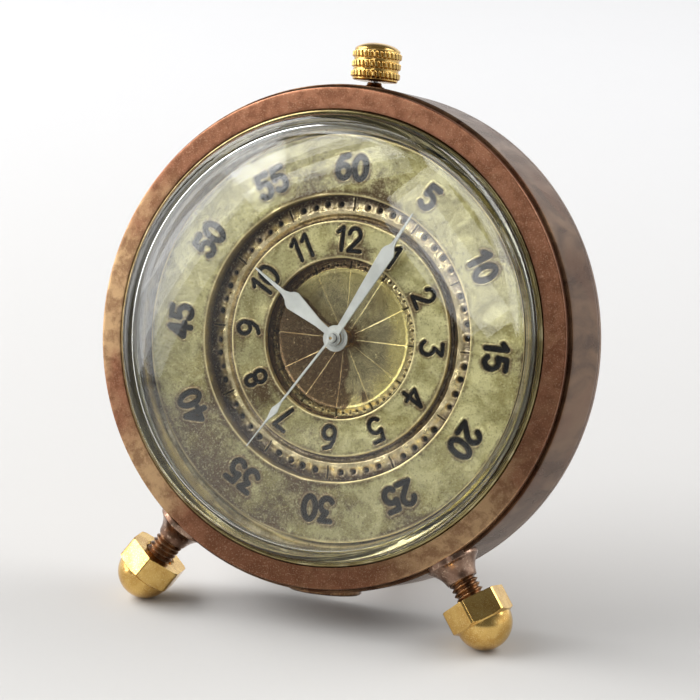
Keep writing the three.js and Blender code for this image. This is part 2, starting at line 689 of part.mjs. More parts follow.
// Fifteen pointed teeth that lean the way the wheel turns.
function escapeShape() {
  const points = [];
  const step = (2 * Math.PI) / 15;
  for (let tooth = 0; tooth < 15; tooth += 1) {
    for (const [radius, share] of [[2.6, 0.0], [1.95, 0.12], [1.95, 0.8]]) {
      const angle = (tooth + share) * step;
      const x = ESCAPE_AT.x + radius * Math.cos(angle);
      points.push(new THREE.Vector2(x, ESCAPE_AT.z + radius * Math.sin(angle)));
    }
  }
  return new THREE.Shape(points);
}

// The fork stands on the line from the escape wheel to the balance: along runs towards
// the escape wheel, across is to the left of it.
function palletFork() {
  const line = Math.atan2(ESCAPE_AT.z - PALLET_AT.z, ESCAPE_AT.x - PALLET_AT.x);
  const outline = [
    [0.35, 0.5], [0.95, 1.45], [0.6, 1.75], [-0.1, 0.5], [-2.8, 0.16], [-3.3, 0.5],
    [-3.45, 0.3], [-3.15, 0], [-3.45, -0.3],
    [-3.3, -0.5], [-2.8, -0.16], [-0.1, -0.5], [0.6, -1.75], [0.95, -1.45], [0.35, -0.5],
  ];
  const points = outline.map(([along, across]) => new THREE.Vector2(
    PALLET_AT.x + along * Math.cos(line) - across * Math.sin(line),
    PALLET_AT.z + along * Math.sin(line) + across * Math.cos(line),
  ));
  const fork = plate(new THREE.Shape(points), 10.2, 10.4);
  add('pallet_fork', join(fork, arbor(PALLET_AT, 0.22, 9.6, 11.35)), MATERIALS.steel);
}

function balance() {
  const rim = hoop(3.9, 4.4, 10.6, 10.95, 32, BALANCE_AT);
  const spoke = block(
    BALANCE_AT.x - 4.1, BALANCE_AT.x + 4.1, 10.7, 10.85, BALANCE_AT.z - 0.35, BALANCE_AT.z + 0.35,
  );
  const hub = disc(0.6, 10.55, 11.1, 10, BALANCE_AT);
  const roller = disc(1.0, 10.2, 10.35, 12, BALANCE_AT);
  const staff = arbor(BALANCE_AT, 0.22, 9.6, 11.35);
  add('balance_wheel', join(rim, spoke, hub, roller, staff), MATERIALS.gilt);
}

// ---------------------------------------------------------------- winding work

function crownTube() {
  const outline = [
    [0.68, 32.6], [0.95, 32.6], [0.95, 34.56], [1.5, 34.56],
    [1.5, 34.8], [0.95, 35.0], [0.95, 35.35], [0.68, 35.35],
  ];
  add('crown_tube', alongStem(turned(outline, 14)), MATERIALS.darkBrass);
}

// A knurled crown: bands of fine teeth between plain grooves, under a low dome.
function crown() {
  const band = { low: CROWN_LOW + 0.35, height: 1.05, groove: 0.3 };
  const core = [[0, CROWN_LOW], [2.9, CROWN_LOW], [3.1, CROWN_LOW + 0.3], [3.1, CROWN_TOP - 1.15]];
  for (const [radius, below] of [[3.35, 1.0], [3.1, 0.55], [2.2, 0.18], [0, 0]]) {
    core.push([radius, CROWN_TOP - below]);
  }
  let body = turned(core, 16);
  for (let i = 0; i < 3; i += 1) {
    const low = band.low + i * (band.height + band.groove);
    body = join(body, plate(starShape(CROWN_R, 3.12, 20), low, low + band.height));
  }
  const bore = disc(0.56, CROWN_LOW - 1, CROWN_LOW + 2.6, 12);
  add('crown', alongStem(cut(body, bore)), MATERIALS.goldBrass);
}

function starShape(outer, inner, teeth) {
  const points = [];
  for (let i = 0; i < teeth * 2; i += 1) {
    const angle = (i * Math.PI) / teeth;
    const radius = i % 2 ? inner : outer;
    points.push(new THREE.Vector2(radius * Math.cos(angle), radius * Math.sin(angle)));
  }
  return new THREE.Shape(points);
}

function stem() {
  const outline = [
    [0, 13.56], [0.4, 13.56], [0.5, 13.7], [0.5, 16.9], [0.3, 16.9], [0.3, 17.4], [0.5, 17.4],
    [0.5, CROWN_LOW + 2.5], [0, CROWN_LOW + 2.5],
  ];
  add('winding_stem', alongStem(turned(outline, 12)), MATERIALS.steel);
}

function windingPinions() {
  const gear = { ...WINDING_PINION, front: 15.76, back: 16.6 };
  const shape = gearShape(gear, 0, 0.58);
  const toothed = extrude(shape, gear.back - gear.front, BORE_CURVE);
  add('winding_pinion', toothed.translate(0, STEM_Y, gear.front), MATERIALS.steel);
  const clutch = turned([
    [0.58, 14.3], [0.92, 14.3], [0.92, 14.75], [0.62, 14.75], [0.62, 15.15], [0.92, 15.15],
    [0.92, 15.66], [0.58, 15.66],
  ], 12);
  add('sliding_pinion', alongStem(clutch), MATERIALS.steel);
}

// One of its teeth points along the stem, over a gap of the winding pinion.
function windingWheel() {
  add('winding_wheel', gearSolid(WINDING_GEAR, WINDING_PHASE, 0.62, WINDING_AT), MATERIALS.steel);
}

// The two levers of the keyless work lie in recesses under the dial.
function levers() {
  add('setting_lever', block(0.36, 4.6, 7.15, 7.6, 17.0, 17.3), MATERIALS.steel);
  add('yoke', block(-5.6, 0.2, 7.12, 7.34, 14.83, 15.07), MATERIALS.steel);
}

// The click stands clear of the ratchet teeth by a running gap.
function click() {
  const reach = gearTip(RATCHET_GEAR) + 0.1;
  const at = { x: BARREL_AT.x - 4.2, z: BARREL_AT.z - 1.2 };
  const shape = new THREE.Shape();
  shape.moveTo(at.x - 0.6, at.z - 0.7);
  shape.lineTo(at.x + 0.5, at.z - 0.7);
  shape.lineTo(BARREL_AT.x - reach, BARREL_AT.z + 0.35);
  shape.lineTo(BARREL_AT.x - reach - 0.25, BARREL_AT.z + 0.75);
  shape.lineTo(at.x - 0.6, at.z + 0.5);
  add('click', plate(shape, 9.0, 9.3), MATERIALS.steel);
}

// ---------------------------------------------------------------- assembly

caseBand();
bezel();
crystalRing();
crystal();
backCover();
backScrews();
feet();
bottomPlug();
dial();
hands();
motionWork();
movementRing();
mainPlate();
bridges();
barrel();
springs();
barrelArbor();
goingTrain();
palletFork();
balance();
crownTube();
crown();
stem();
windingPinions();
windingWheel();
levers();
click();

clock.rotation.x = -LEAN;

// The origin is under the middle of the clock, on the surface that it stands on.
const part = new THREE.Group();
part.add(clock);
part.updateMatrixWorld(true);
const bounds = new THREE.Box3().setFromObject(part, true);
clock.position.y = -(bounds.min.y + bounds.max.y) / 2;
clock.position.z = -bounds.min.z;
part.updateMatrixWorld(true);

export default part;
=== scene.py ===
"""Looks of the small copper table clock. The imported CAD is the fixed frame; every piece that
can be seen is built here as a detailed mesh with a procedural material.

Shapes are drawn in the clock's own frame in millimetres: X right, Z up along the dial and Y
backwards along the hand axis, with Y = 0 at the front of the bezel. Angles run clockwise
from twelve, in degrees."""

import json
import math

import bmesh
import bpy
import numpy as np
from mathutils import Matrix, Vector


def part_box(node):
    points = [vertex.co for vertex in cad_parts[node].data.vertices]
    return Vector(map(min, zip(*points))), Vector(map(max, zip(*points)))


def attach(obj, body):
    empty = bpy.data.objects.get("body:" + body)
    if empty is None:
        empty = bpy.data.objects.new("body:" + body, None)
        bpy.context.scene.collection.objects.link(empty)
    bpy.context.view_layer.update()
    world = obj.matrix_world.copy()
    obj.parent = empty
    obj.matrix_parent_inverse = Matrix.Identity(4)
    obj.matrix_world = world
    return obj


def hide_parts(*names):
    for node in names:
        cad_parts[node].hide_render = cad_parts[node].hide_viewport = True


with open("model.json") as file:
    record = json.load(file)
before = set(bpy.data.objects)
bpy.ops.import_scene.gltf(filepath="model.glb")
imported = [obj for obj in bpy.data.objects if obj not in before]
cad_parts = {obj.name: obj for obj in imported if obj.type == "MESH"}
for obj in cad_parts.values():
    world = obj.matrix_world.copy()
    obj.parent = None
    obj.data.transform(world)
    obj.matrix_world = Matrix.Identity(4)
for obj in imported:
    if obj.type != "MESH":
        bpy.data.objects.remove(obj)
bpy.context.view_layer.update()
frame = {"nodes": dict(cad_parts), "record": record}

MM = 0.001
COVER_BACK = 14.1
MOUNT = next(m for m in frame["record"]["mounts"] if m["name"] == "back_face")
AXIS = np.array(MOUNT["axis"], float)
CENTRE = np.array(MOUNT["pos_m"], float) - AXIS * COVER_BACK * MM
DIAL_AXES = np.array([(1.0, 0.0, 0.0), AXIS, (0.0, -AXIS[2], AXIS[1])])

# ------------------ dimensions, mm

CASE_R = 34.5
BORE_R = 32.4
BEZEL_R = 34.0
BEZEL_BORE = 31.0
LEG_ANGLE = 35.6
LEG_Y = 3.9
NUT_START = 5.55
REAR_NUT_START = 12.6
HEX_LENGTH = 3.4
NUT_FLATS = 8.0
DOME_R = 3.85
DOME_CENTRE = 3.4
STEM_Y = 8.0
BEZEL_MIDDLE = 32.5
CRYSTAL_R = 30.35
CRYSTAL_APEX = -5.8
CRYSTAL_WALL = 1.4
CRYSTAL_SEAT = 2.5
OUTER_RING = (19.5, 27.7)
INNER_RING = (11.0, 16.15)
RING_BACK = 5.95
PLATE_BACK = 6.7
DISH_BACK = 7.5
TRACK_DOTS_R = 18.35
CENTRE_DOTS_R = 10.2
MINUTES = 60
HOURS = 12
NEAR_HOUR = math.radians(2.5)
COVER_FRONT = 13.05
SCREW_CIRCLE = 33.45
SCREW_ANGLES = (45, 135, 225, 315)


# ------------------ meshes

def to_world(points):
    """Points of the clock's frame, in mm, as points of the shared frame, in metres."""
    return np.asarray(points, float) @ (DIAL_AXES * MM) + CENTRE


def new_object(name, data):
    made = bpy.data.objects.new(name, data)
    bpy.context.scene.collection.objects.link(made)
    return made


def make_piece(name, shape, material, body="case", node=None, sharp=32.0, marks=None):
    """A mesh object from a shape, its (points, faces) in the clock's frame. node is the CAD
    solid that it stands for, sharp the angle in degrees above which an edge stays crisp, and
    marks are named values per point."""
    points, faces = shape
    mesh = bpy.data.meshes.new(name)
    mesh.from_pydata(to_world(points).tolist(), [], faces)
    for key, values in (marks or {}).items():
        attribute = mesh.attributes.new(key, "FLOAT", "POINT")
        attribute.data.foreach_set("value", np.ravel(values).astype(np.float32))
    work = bmesh.new()
    work.from_mesh(mesh)
    bmesh.ops.recalc_face_normals(work, faces=work.faces)
    work.to_mesh(mesh)
    work.free()
    mesh.shade_smooth()
    mesh.set_sharp_from_angle(angle=math.radians(sharp))
    mesh.materials.append(material)
    piece = new_object(name, mesh)
    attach(piece, body)
    if node:
        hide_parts(node)
    return piece


def loft(rings, closed=False):
    """Faces between neighbouring rings of points. closed joins the last ring to the first;
    otherwise both ends are capped."""
    count, around = rings.shape[:2]
    index = np.arange(count * around).reshape(count, around)
    rows = np.vstack([index, index[:1]]) if closed else index
    low, high = rows[:-1], rows[1:]
    quads = np.stack([low, np.roll(low, -1, 1), np.roll(high, -1, 1), high], axis=-1).reshape(-1, 4)
    faces = quads.tolist()
    if not closed:
        faces.append(index[0][::-1].tolist())
        faces.append(index[-1].tolist())
    return rings.reshape(-1, 3), faces


def turned(profile, segments, wave=None):
    """Rings of points for an outline of (radius, depth) turned about the hand axis. wave
    gives an added depth from radius and angle."""
    profile = np.asarray(profile, float)
    angle = np.arange(segments) * 2 * math.pi / segments
    radius = np.repeat(profile[:, :1], segments, 1)
    depth = np.repeat(profile[:, 1:2], segments, 1)
    angle = np.repeat(angle[None, :], len(profile), 0)
    if wave is not None:
        depth = depth + wave(radius, angle)
    return np.stack([radius * np.sin(angle), depth, radius * np.cos(angle)], axis=-1)


def stacked(rings, turn):
    """Points of rings about the Y axis, each with its radius at every turn and its level."""
    return np.array([np.stack([radius * np.sin(turn), np.full(len(turn), level), radius * np.cos(turn)],
                              axis=-1) for radius, level in rings])


def rounded(corners, size, steps=4, closed=False):
    """An outline whose corners are rounded off: corners are (r, y), size is how far the
    rounding reaches along each side, one number or one for each corner."""
    corners = [np.array(c, float) for c in corners]
    sizes = [size] * len(corners) if np.isscalar(size) else list(size)
    out = []
    last = len(corners) - 1
    for i, corner in enumerate(corners):
        if (not closed and i in (0, last)) or sizes[i] <= 0:
            out.append(corner)
            continue
        before, after = corners[i - 1], corners[(i + 1) % len(corners)]
        reach = [min(sizes[i], 0.49 * np.linalg.norm(end - corner)) for end in (before, after)]
        start = corner + (before - corner) / np.linalg.norm(before - corner) * reach[0]
        stop = corner + (after - corner) / np.linalg.norm(after - corner) * reach[1]
        for step in range(steps + 1):
            t = step / steps
            out.append((1 - t) ** 2 * start + 2 * t * (1 - t) * corner + t * t * stop)
    return np.array(out)


def subdivided(outline, longest, closed=False):
    """The outline with its long sides split, so that no step is longer than longest."""
    outline = np.asarray(outline, float)
    out = []
    count = len(outline)
    for i in range(count if closed else count - 1):
        start, stop = outline[i], outline[(i + 1) % count]
        steps = max(1, math.ceil(np.linalg.norm(stop - start) / longest))
        out += [start + (stop - start) * s / steps for s in range(steps)]
    if not closed:
        out.append(outline[-1])
    return np.array(out)


def split(points):
    """The x, y and z of an array of points."""
    return np.moveaxis(np.asarray(points, float), -1, 0)


def onto_wall(points, angle, depth):
    """Points drawn about the Y axis, with Y = 0 on the case wall, set on the wall at an angle
    from six o'clock, positive to the left."""
    x, y, z = split(points)
    out, across = -y - CASE_R, z + depth
    turn = math.radians(angle)
    return np.stack([x * math.cos(turn) + out * math.sin(turn), across,
                     -x * math.sin(turn) + out * math.cos(turn)], axis=-1)


def onto_back(points, height):
    """Points drawn about the Y axis, with Y = 0 on the back cover, set at a height on it."""
    x, y, z = split(points)
    return np.stack([x, y + COVER_BACK, z + height], axis=-1)


def along_stem(points):
    """Points drawn about the Y axis, set upright about the winding stem."""
    x, y, z = split(points)
    return np.stack([x, STEM_Y - z, y], axis=-1)


def smooth(low, high, value):
    """0 at low, 1 at high, smooth between."""
    t = np.clip((value - low) / (high - low), 0.0, 1.0)
    return t * t * (3 - 2 * t)


def hump(value, at, width):
    """A bell curve, 1 where value is at."""
    return np.exp(-((value - at) / width) ** 2)


def off_tick(angle, count):
    """The angle from the nearest of count evenly spaced radii."""
    pitch = math.tau / count
    return np.abs((angle + pitch / 2) % pitch - pitch / 2)


# ------------------ materials

def linear(colour):
    """A display colour, 0 to 255, as scene-linear RGBA."""
    parts = [c / 255 for c in colour]
    return [c / 12.92 if c < 0.04045 else ((c + 0.055) / 1.055) ** 2.4 for c in parts] + [1.0]


class Nodes:
    """Shader nodes, built from small steps that each return a socket."""

    def __init__(self, tree):
        self.tree = tree

    def add(self, kind, inputs=None, **settings):
        node = self.tree.nodes.new(kind)
        for key, value in settings.items():
            setattr(node, key, value)
        for key, value in (inputs or {}).items():
            self.feed(node.inputs[key], value)
        return node

    def feed(self, socket, value):
        if isinstance(value, bpy.types.NodeSocket):
            self.tree.links.new(value, socket)
        else:
            socket.default_value = value

    def step(self, value, low, high):
        """0 below low, 1 above high, smooth between."""
        return self.add("ShaderNodeMapRange", {"Value": value, "From Min": low, "From Max": high},
                        interpolation_type="SMOOTHSTEP").outputs["Result"]

    def span(self, value, low, high):
        """A 0 to 1 value brought to low to high."""
        node = self.add("ShaderNodeMapRange", {"Value": value, "To Min": low, "To Max": high})
        return node.outputs["Result"]

    def sum(self, a, b, operation="ADD"):
        return self.add("ShaderNodeMath", {0: a, 1: b}, operation=operation).outputs[0]

    def times(self, a, b):
        return self.sum(a, b, "MULTIPLY")

    def vector(self, operation, a, b):
        """The node of a vector sum, with b given as numbers."""
        return self.add("ShaderNodeVectorMath", {0: a, 1: Vector(b)}, operation=operation)

    def mix(self, share, a, b):
        node = self.add("ShaderNodeMix", data_type="RGBA")
        for i, value in ((0, share), (6, a), (7, b)):
            self.feed(node.inputs[i], value)
        return node.outputs[2]

    def tint(self, tone, share, colour, amount=None):
        """tone brought towards a display colour by share, or by share times amount."""
        if amount is not None:
            share = self.times(share, amount)
        return self.mix(share, tone, linear(colour))


class Finish(Nodes):
    """One procedural material."""

    def __init__(self, name):
        self.material = bpy.data.materials.new(name)
        self.material.use_nodes = True
        super().__init__(self.material.node_tree)
        self.shader = self.tree.nodes["Principled BSDF"]
        self.place = self.add("ShaderNodeTexCoord").outputs["Object"]

    def set(self, **values):
        for key, value in values.items():
            self.feed(self.shader.inputs[key.replace("_", " ")], value)

    def dial_place(self, stretch):
        """Coordinates turned into the clock's own frame, stretched along its axes."""
        lean = math.asin(-AXIS[2])
        centred = self.vector("SUBTRACT", self.place, CENTRE).outputs[0]
        turned_back = self.add("ShaderNodeVectorRotate", {"Vector": centred, "Angle": lean},
                               rotation_type="X_AXIS")
        return self.vector("MULTIPLY", turned_back.outputs[0], stretch).outputs[0]

    def noise(self, size, detail=4.0, rough=0.55, warp=0.0, place=None):
        """Noise whose features are about size mm across."""
        node = self.add("ShaderNodeTexNoise", {"Vector": place or self.place, "Scale": 1 / (size * MM),
                                               "Detail": detail, "Roughness": rough, "Distortion": warp})
        return node.outputs["Fac"]

    def mark(self, name):
        return self.add("ShaderNodeAttribute", attribute_name=name).outputs["Fac"]

    def bump(self, height, depth, under=None):
        """Relief of about depth mm."""
        inputs = {"Height": height, "Strength": 1.0, "Distance": depth * MM}
        if under is not None:
            inputs["Normal"] = under
        return self.add("ShaderNodeBump", inputs).outputs["Normal"]


def metal_finish(name, base, dark, light, patch, grain, rough, grain_depth, patch_depth=0.0):
    """A metal with wear: patches of a darker and a lighter tone, fine grain in the roughness and
    relief. patch and grain are sizes in mm; rough is (lowest, highest)."""
    look = Finish(name)
    patches = look.noise(patch, 5.0, 0.6, 0.4)
    specks = look.noise(grain, 3.0, 0.6)
    tone = look.tint(linear(dark), look.step(patches, 0.38, 0.62), base)
    tone = look.tint(tone, look.step(specks, 0.52, 0.72), light)
    look.set(Base_Color=tone, Metallic=1.0)
    look.set(Roughness=look.span(look.times(patches, specks), rough[1], rough[0]))
    normal = look.bump(specks, grain_depth)
    if patch_depth:
        normal = look.bump(patches, patch_depth, normal)
    look.set(Normal=normal)
    return look.material


def bezel_finish():
    """Copper with a fine blasted grain. The mark sandy paints pale patches and the mark dusky brown
    ones: partly patina, partly painted light and shade round the ring."""
    look = Finish("bezel_copper")
    patches = look.noise(6.0, 4.0, 0.6, 0.6)
    blots = look.noise(2.0, 5.0, 0.65, 0.3)
    grains = look.noise(0.2, 2.0, 0.7)
    sandy = look.sum(look.mark("sandy"), look.span(patches, -0.9, 0.9))
    tone = look.tint(linear((158, 109, 83)), look.step(sandy, -0.1, 0.75), (200, 164, 122))
    tone = look.tint(tone, look.step(blots, 0.4, 0.62), (108, 68, 48), 0.6)
    tone = look.tint(tone, look.mark("dusky"), (96, 62, 44), 0.75)
    tone = look.tint(tone, look.step(grains, 0.52, 0.72), (214, 178, 146), 0.35)
    look.set(Base_Color=tone, Metallic=1.0)
    look.set(Roughness=look.span(grains, 0.44, 0.26))
    look.set(Normal=look.bump(blots, 0.02, look.bump(grains, 0.022)))
    return look.material


def band_finish():
    """Glossy dark copper: purple-brown, with soft streaks along the depth of the case."""
    look = Finish("case_copper")
    streaks = look.noise(3.2, 4.0, 0.55, 0.6, look.dial_place((1.0, 0.3, 1.0)))
    clouds = look.noise(9.0, 3.0, 0.5, 0.8)
    specks = look.noise(0.35, 2.0, 0.6)
    tone = look.tint(linear((62, 42, 31)), look.step(streaks, 0.34, 0.66), (106, 80, 58))
    tone = look.tint(tone, look.step(clouds, 0.45, 0.7), (94, 58, 38), 0.6)
    tone = look.tint(tone, look.step(specks, 0.6, 0.8), (190, 150, 122), 0.25)
    look.set(Base_Color=tone, Metallic=1.0, Specular_Tint=linear((238, 230, 224)))
    look.set(Roughness=look.span(streaks, 0.36, 0.14))
    look.set(Normal=look.bump(streaks, 0.04, look.bump(specks, 0.003)))
    return look.material


def dial_finish(name, base, pale, stain_and_shade, stain_share, rough, polish=0.0, beaten=0.03, pitted=0.5):
    """Old brass of the dial, with marks painted on its points: black fill and a painted shadow line;
    rubbed metal and painted highlights; a painted yellow highlight; painted shade on one side;
    and brown patina with painted shade on walls and in corners. polish is how much smoother
    the rubbed and highlighted places are, beaten its relief in mm, and pitted how dark its fine
    pits are."""
    look = Finish(name)
    clouds = look.noise(4.0, 5.0, 0.62, 0.9)
    blots = look.noise(1.5, 6.0, 0.7, 0.6)
    specks = look.noise(0.3, 3.0, 0.7)
    dents = look.noise(1.1, 3.0, 0.55, 0.3)
    tone = look.tint(linear(base), look.step(clouds, 0.36, 0.64), pale)
    # Painted highlight: a pale yellow sheen near the rim of the centre dish.
    tone = look.tint(tone, look.mark("gilt"), (224, 206, 132))
    # Painted shade: one side of each chapter ring tinted dark olive.
    tone = look.tint(tone, look.mark("shade"), (112, 100, 62), 0.42)
    # Brown patina, and painted shade on side walls, in corners and round the hub.
    weight = look.sum(look.sum(blots, look.times(look.mark("stain_and_shade"), 0.5)), stain_share)
    tone = look.tint(tone, look.step(weight, 0.5, 0.95), stain_and_shade, 0.85)
    tone = look.tint(tone, look.step(specks, 0.46, 0.3), (246, 236, 190), 0.4)
    pits = look.step(look.sum(specks, look.times(look.mark("stain_and_shade"), 0.1)), 0.54, 0.7)
    tone = look.tint(tone, pits, stain_and_shade, pitted)
    # Rubbed bright metal, and painted highlights on lips, burrs, rims, beads and ridges.
    tone = look.tint(tone, look.mark("wear_and_highlight"), (255, 234, 178))
    # Black fill of struck numbers, dots and cuts, and a painted shadow line round the foot of the outer
    # ring.
    tone = look.tint(tone, look.mark("ink_and_shadow"), (12, 11, 10))
    look.set(Base_Color=tone)
    look.set(Metallic=look.span(look.mark("ink_and_shadow"), 0.97, 0.0), Specular_IOR_Level=0.14)
    roughness = look.span(look.times(blots, specks), rough[1], rough[0])
    shine = look.sum(look.times(look.mark("wear_and_highlight"), polish), look.times(look.mark("ink_and_shadow"), 0.2))
    look.set(Roughness=look.sum(roughness, shine, "SUBTRACT"))
    look.set(Normal=look.bump(dents, beaten, look.bump(blots, 0.03, look.bump(specks, 0.018))))
    return look.material


def crystal_finish():
    """Clear acrylic. Light that is on its way to a surface passes it unbent."""
    look = Finish("crystal")
    smears = look.noise(9.0, 3.0, 0.5, 0.6)
    look.set(Base_Color=linear((250, 252, 250)), Transmission_Weight=1.0, IOR=1.49)
    look.set(Specular_IOR_Level=0.34, Roughness=look.span(look.step(smears, 0.5, 0.75), 0.0, 0.004))
    clear = look.add("ShaderNodeBsdfTransparent", {"Color": (0.96, 0.97, 0.96, 1.0)})
    path = look.add("ShaderNodeLightPath")
    both = look.add("ShaderNodeMixShader", {0: path.outputs["Is Shadow Ray"], 1: look.shader.outputs[0],
                                            2: clear.outputs[0]})
    end = look.tree.nodes["Material Output"]
    look.tree.links.new(both.outputs[0], end.inputs["Surface"])
    return look.material


def hand_finish():
    """White lacquer, a little uneven, over thin metal."""
    look = Finish("hand_white")
    clouds = look.noise(3.0, 4.0, 0.6)
    grain = look.noise(0.12, 2.0, 0.6)
    tone = look.tint(linear((184, 184, 181)), look.step(clouds, 0.35, 0.7), (208, 208, 205))
    look.set(Base_Color=tone, Metallic=0.0, Roughness=look.span(grain, 0.4, 0.6))
    look.set(Normal=look.bump(grain, 0.004))
    return look.material


BEZEL = bezel_finish()
BAND = band_finish()
OUTER_BRASS = dial_finish("dial_brass", (174, 163, 108), (224, 215, 160), (80, 54, 38), -0.05,
                          (0.18, 0.42), beaten=0.05)
CENTRE_BRASS = dial_finish("centre_brass", (176, 162, 122), (206, 192, 146), (104, 73, 54), 0.0,
                           (0.1, 0.3), beaten=0.02, pitted=0.2)
BASE_BRASS = dial_finish("dial_base", (168, 142, 116), (230, 210, 184), (54, 36, 28), 0.04,
                         (0.16, 0.42), polish=0.1, beaten=0.1)
EDGE_BRASS = dial_finish("dial_edge_brass", (166, 150, 116), (214, 202, 168), (76, 56, 42), 0.0,
                         (0.2, 0.42), polish=0.1)
CRYSTAL = crystal_finish()
HAND = hand_finish()

# The plain, dark and light colours, the sizes of patches and grain, the roughness, and the
# relief of the grain and of the patches.
METALS = {
    "ring_brass": ((160, 148, 104), (132, 118, 80), (190, 180, 142), 5.0, 3.0, (0.14, 0.26), 0.0002),
    "dark_brass": ((146, 112, 82), (100, 70, 50), (186, 156, 122), 2.0, 0.25, (0.14, 0.34), 0.002, 0.004),
    "boss_copper": ((164, 136, 118), (120, 92, 76), (194, 168, 146), 4.0, 0.6, (0.16, 0.32), 0.001, 0.004),
    "back_copper": ((126, 96, 72), (104, 76, 55), (152, 120, 94), 11.0, 0.4, (0.2, 0.36), 0.002),
    "gold_brass": ((224, 186, 110), (204, 162, 90), (242, 212, 146), 2.2, 0.18, (0.07, 0.24), 0.001, 0.004),
    "movement_gilt": ((214, 180, 118), (180, 142, 86), (236, 208, 150), 2.0, 0.2, (0.2, 0.4), 0.003),
    "movement_plate": ((190, 188, 182), (160, 158, 152), (214, 212, 206), 2.5, 0.2, (0.2, 0.4), 0.003),
    "steel": ((170, 172, 176), (130, 132, 138), (206, 208, 212), 1.8, 0.16, (0.15, 0.35), 0.002),
    "blue_steel": ((54, 70, 128), (36, 46, 92), (86, 100, 160), 1.5, 0.16, (0.15, 0.35), 0.002),
}
METAL = {name: metal_finish(name, *values) for name, values in METALS.items()}


# ------------------ numerals

def arc(cx, cz, rx, rz, start, stop, steps=12):
    """Part of an ellipse; angles in degrees, anticlockwise from the right."""
    turn = np.radians(np.linspace(start, stop, steps + 1))
    return [(cx + rx * math.cos(t), cz + rz * math.sin(t)) for t in turn]


# Strokes of each digit in a cell one high, centred on its middle.
DIGITS = {
    "0": [arc(0, 0, 0.235, 0.42, 0, 360, 28)],
    "1": [[(-0.14, 0.24), (0.05, 0.42), (0.05, -0.42)]],
    "2": [arc(0, 0.18, 0.22, 0.24, 175, -35, 12) + [(-0.22, -0.42), (0.25, -0.42)]],
    "3": [[(-0.21, 0.42), (0.2, 0.42), (-0.04, 0.1)] + arc(-0.03, -0.16, 0.25, 0.26, 85, -145, 14)],
    "4": [[(0.1, -0.42), (0.1, 0.42), (-0.25, -0.16), (0.27, -0.16)]],
    "5": [[(0.22, 0.42), (-0.15, 0.42), (-0.19, 0.06)] + arc(-0.02, -0.15, 0.24, 0.27, 128, -140, 14)],
    "6": [arc(0, -0.18, 0.225, 0.24, 0, 360, 24),
          [(-0.225, -0.16), (-0.2, 0.1), (-0.08, 0.34), (0.14, 0.42)]],
    "7": [[(-0.24, 0.42), (0.23, 0.42), (-0.05, -0.42)]],
    "8": [arc(0, 0.2, 0.18, 0.21, 0, 360, 20), arc(0, -0.2, 0.22, 0.23, 0, 360, 24)],
    "9": [arc(0, 0.18, 0.225, 0.24, 0, 360, 24),
          [(0.225, 0.16), (0.2, -0.1), (0.08, -0.34), (-0.14, -0.42)]],
}
DIGIT_PITCH = {"1": 0.46}


def digit_strokes(text, height, spacing):
    """Strokes of a number, centred on the origin, in mm."""
    widths = [DIGIT_PITCH.get(c, 0.62) * spacing for c in text]
    left = -sum(widths) / 2
    strokes = []
    for character, width in zip(text, widths):
        middle = left + width / 2
        strokes += [[((x + middle) * height, z * height) for x, z in stroke]
                    for stroke in DIGITS[character]]
        left += width
    return strokes


def stroke_distance(x, z, strokes):
    """Distance from points to the nearest stroke."""
    best = np.full(x.shape, 1e9)
    for stroke in strokes:
        for (x0, z0), (x1, z1) in zip(stroke[:-1], stroke[1:]):
            dx, dz = x1 - x0, z1 - z0
            share = np.clip(((x - x0) * dx + (z - z0) * dz) / max(dx * dx + dz * dz, 1e-9), 0, 1)
            best = np.minimum(best, np.hypot(x - x0 - share * dx, z - z0 - share * dz))
    return best


def number_distance(radius, angle, numbers, at, height, spacing):
    """Distance from points of the dial to the nearest stroke of a ring of numbers, where
    the top of each number points outwards."""
    x, z = radius * np.sin(angle), radius * np.cos(angle)
    best = np.full(x.shape, 1e9)
    for i, text in enumerate(numbers):
        turn = 2 * math.pi * i / len(numbers)
        along = x * math.cos(turn) - z * math.sin(turn)
        out = x * math.sin(turn) + z * math.cos(turn) - at
        near = (np.abs(along) < height) & (np.abs(out) < height)
        best[near] = stroke_distance(along[near], out[near], digit_strokes(text, height, spacing))
    return best


def blob(radius, angle, at, clock_angle, size):
    """A soft round patch on the dial, 1 in its middle."""
    x, z = radius * np.sin(angle), radius * np.cos(angle)
    turn = math.radians(clock_angle)
    gap = np.hypot(x - at * math.sin(turn), z - at * math.cos(turn))
    return hump(gap, 0, size)


def ripple(radius, angle, depth, seed):
    """Slow hand-beaten waviness of a dial surface."""
    x, z = radius * np.sin(angle), radius * np.cos(angle)
    rng = np.random.default_rng(seed)
    total = np.zeros_like(x)
    for _ in range(14):
        direction, length, phase = rng.uniform((0, 2.5, 0), (math.tau, 9.0, math.tau))
        total += np.sin((x * math.cos(direction) + z * math.sin(direction)) * math.tau / length + phase)
    return total * depth / 4


# ------------------ dial

def plate_outline(face, under):
    """The closed outline of a ring: its face from the inner to the outer edge, then the rest.
    Gives the outline and, as a column, which of its points lie on the face."""
    outline = np.vstack([face, under])
    return outline, (np.arange(len(outline)) < len(face))[:, None]


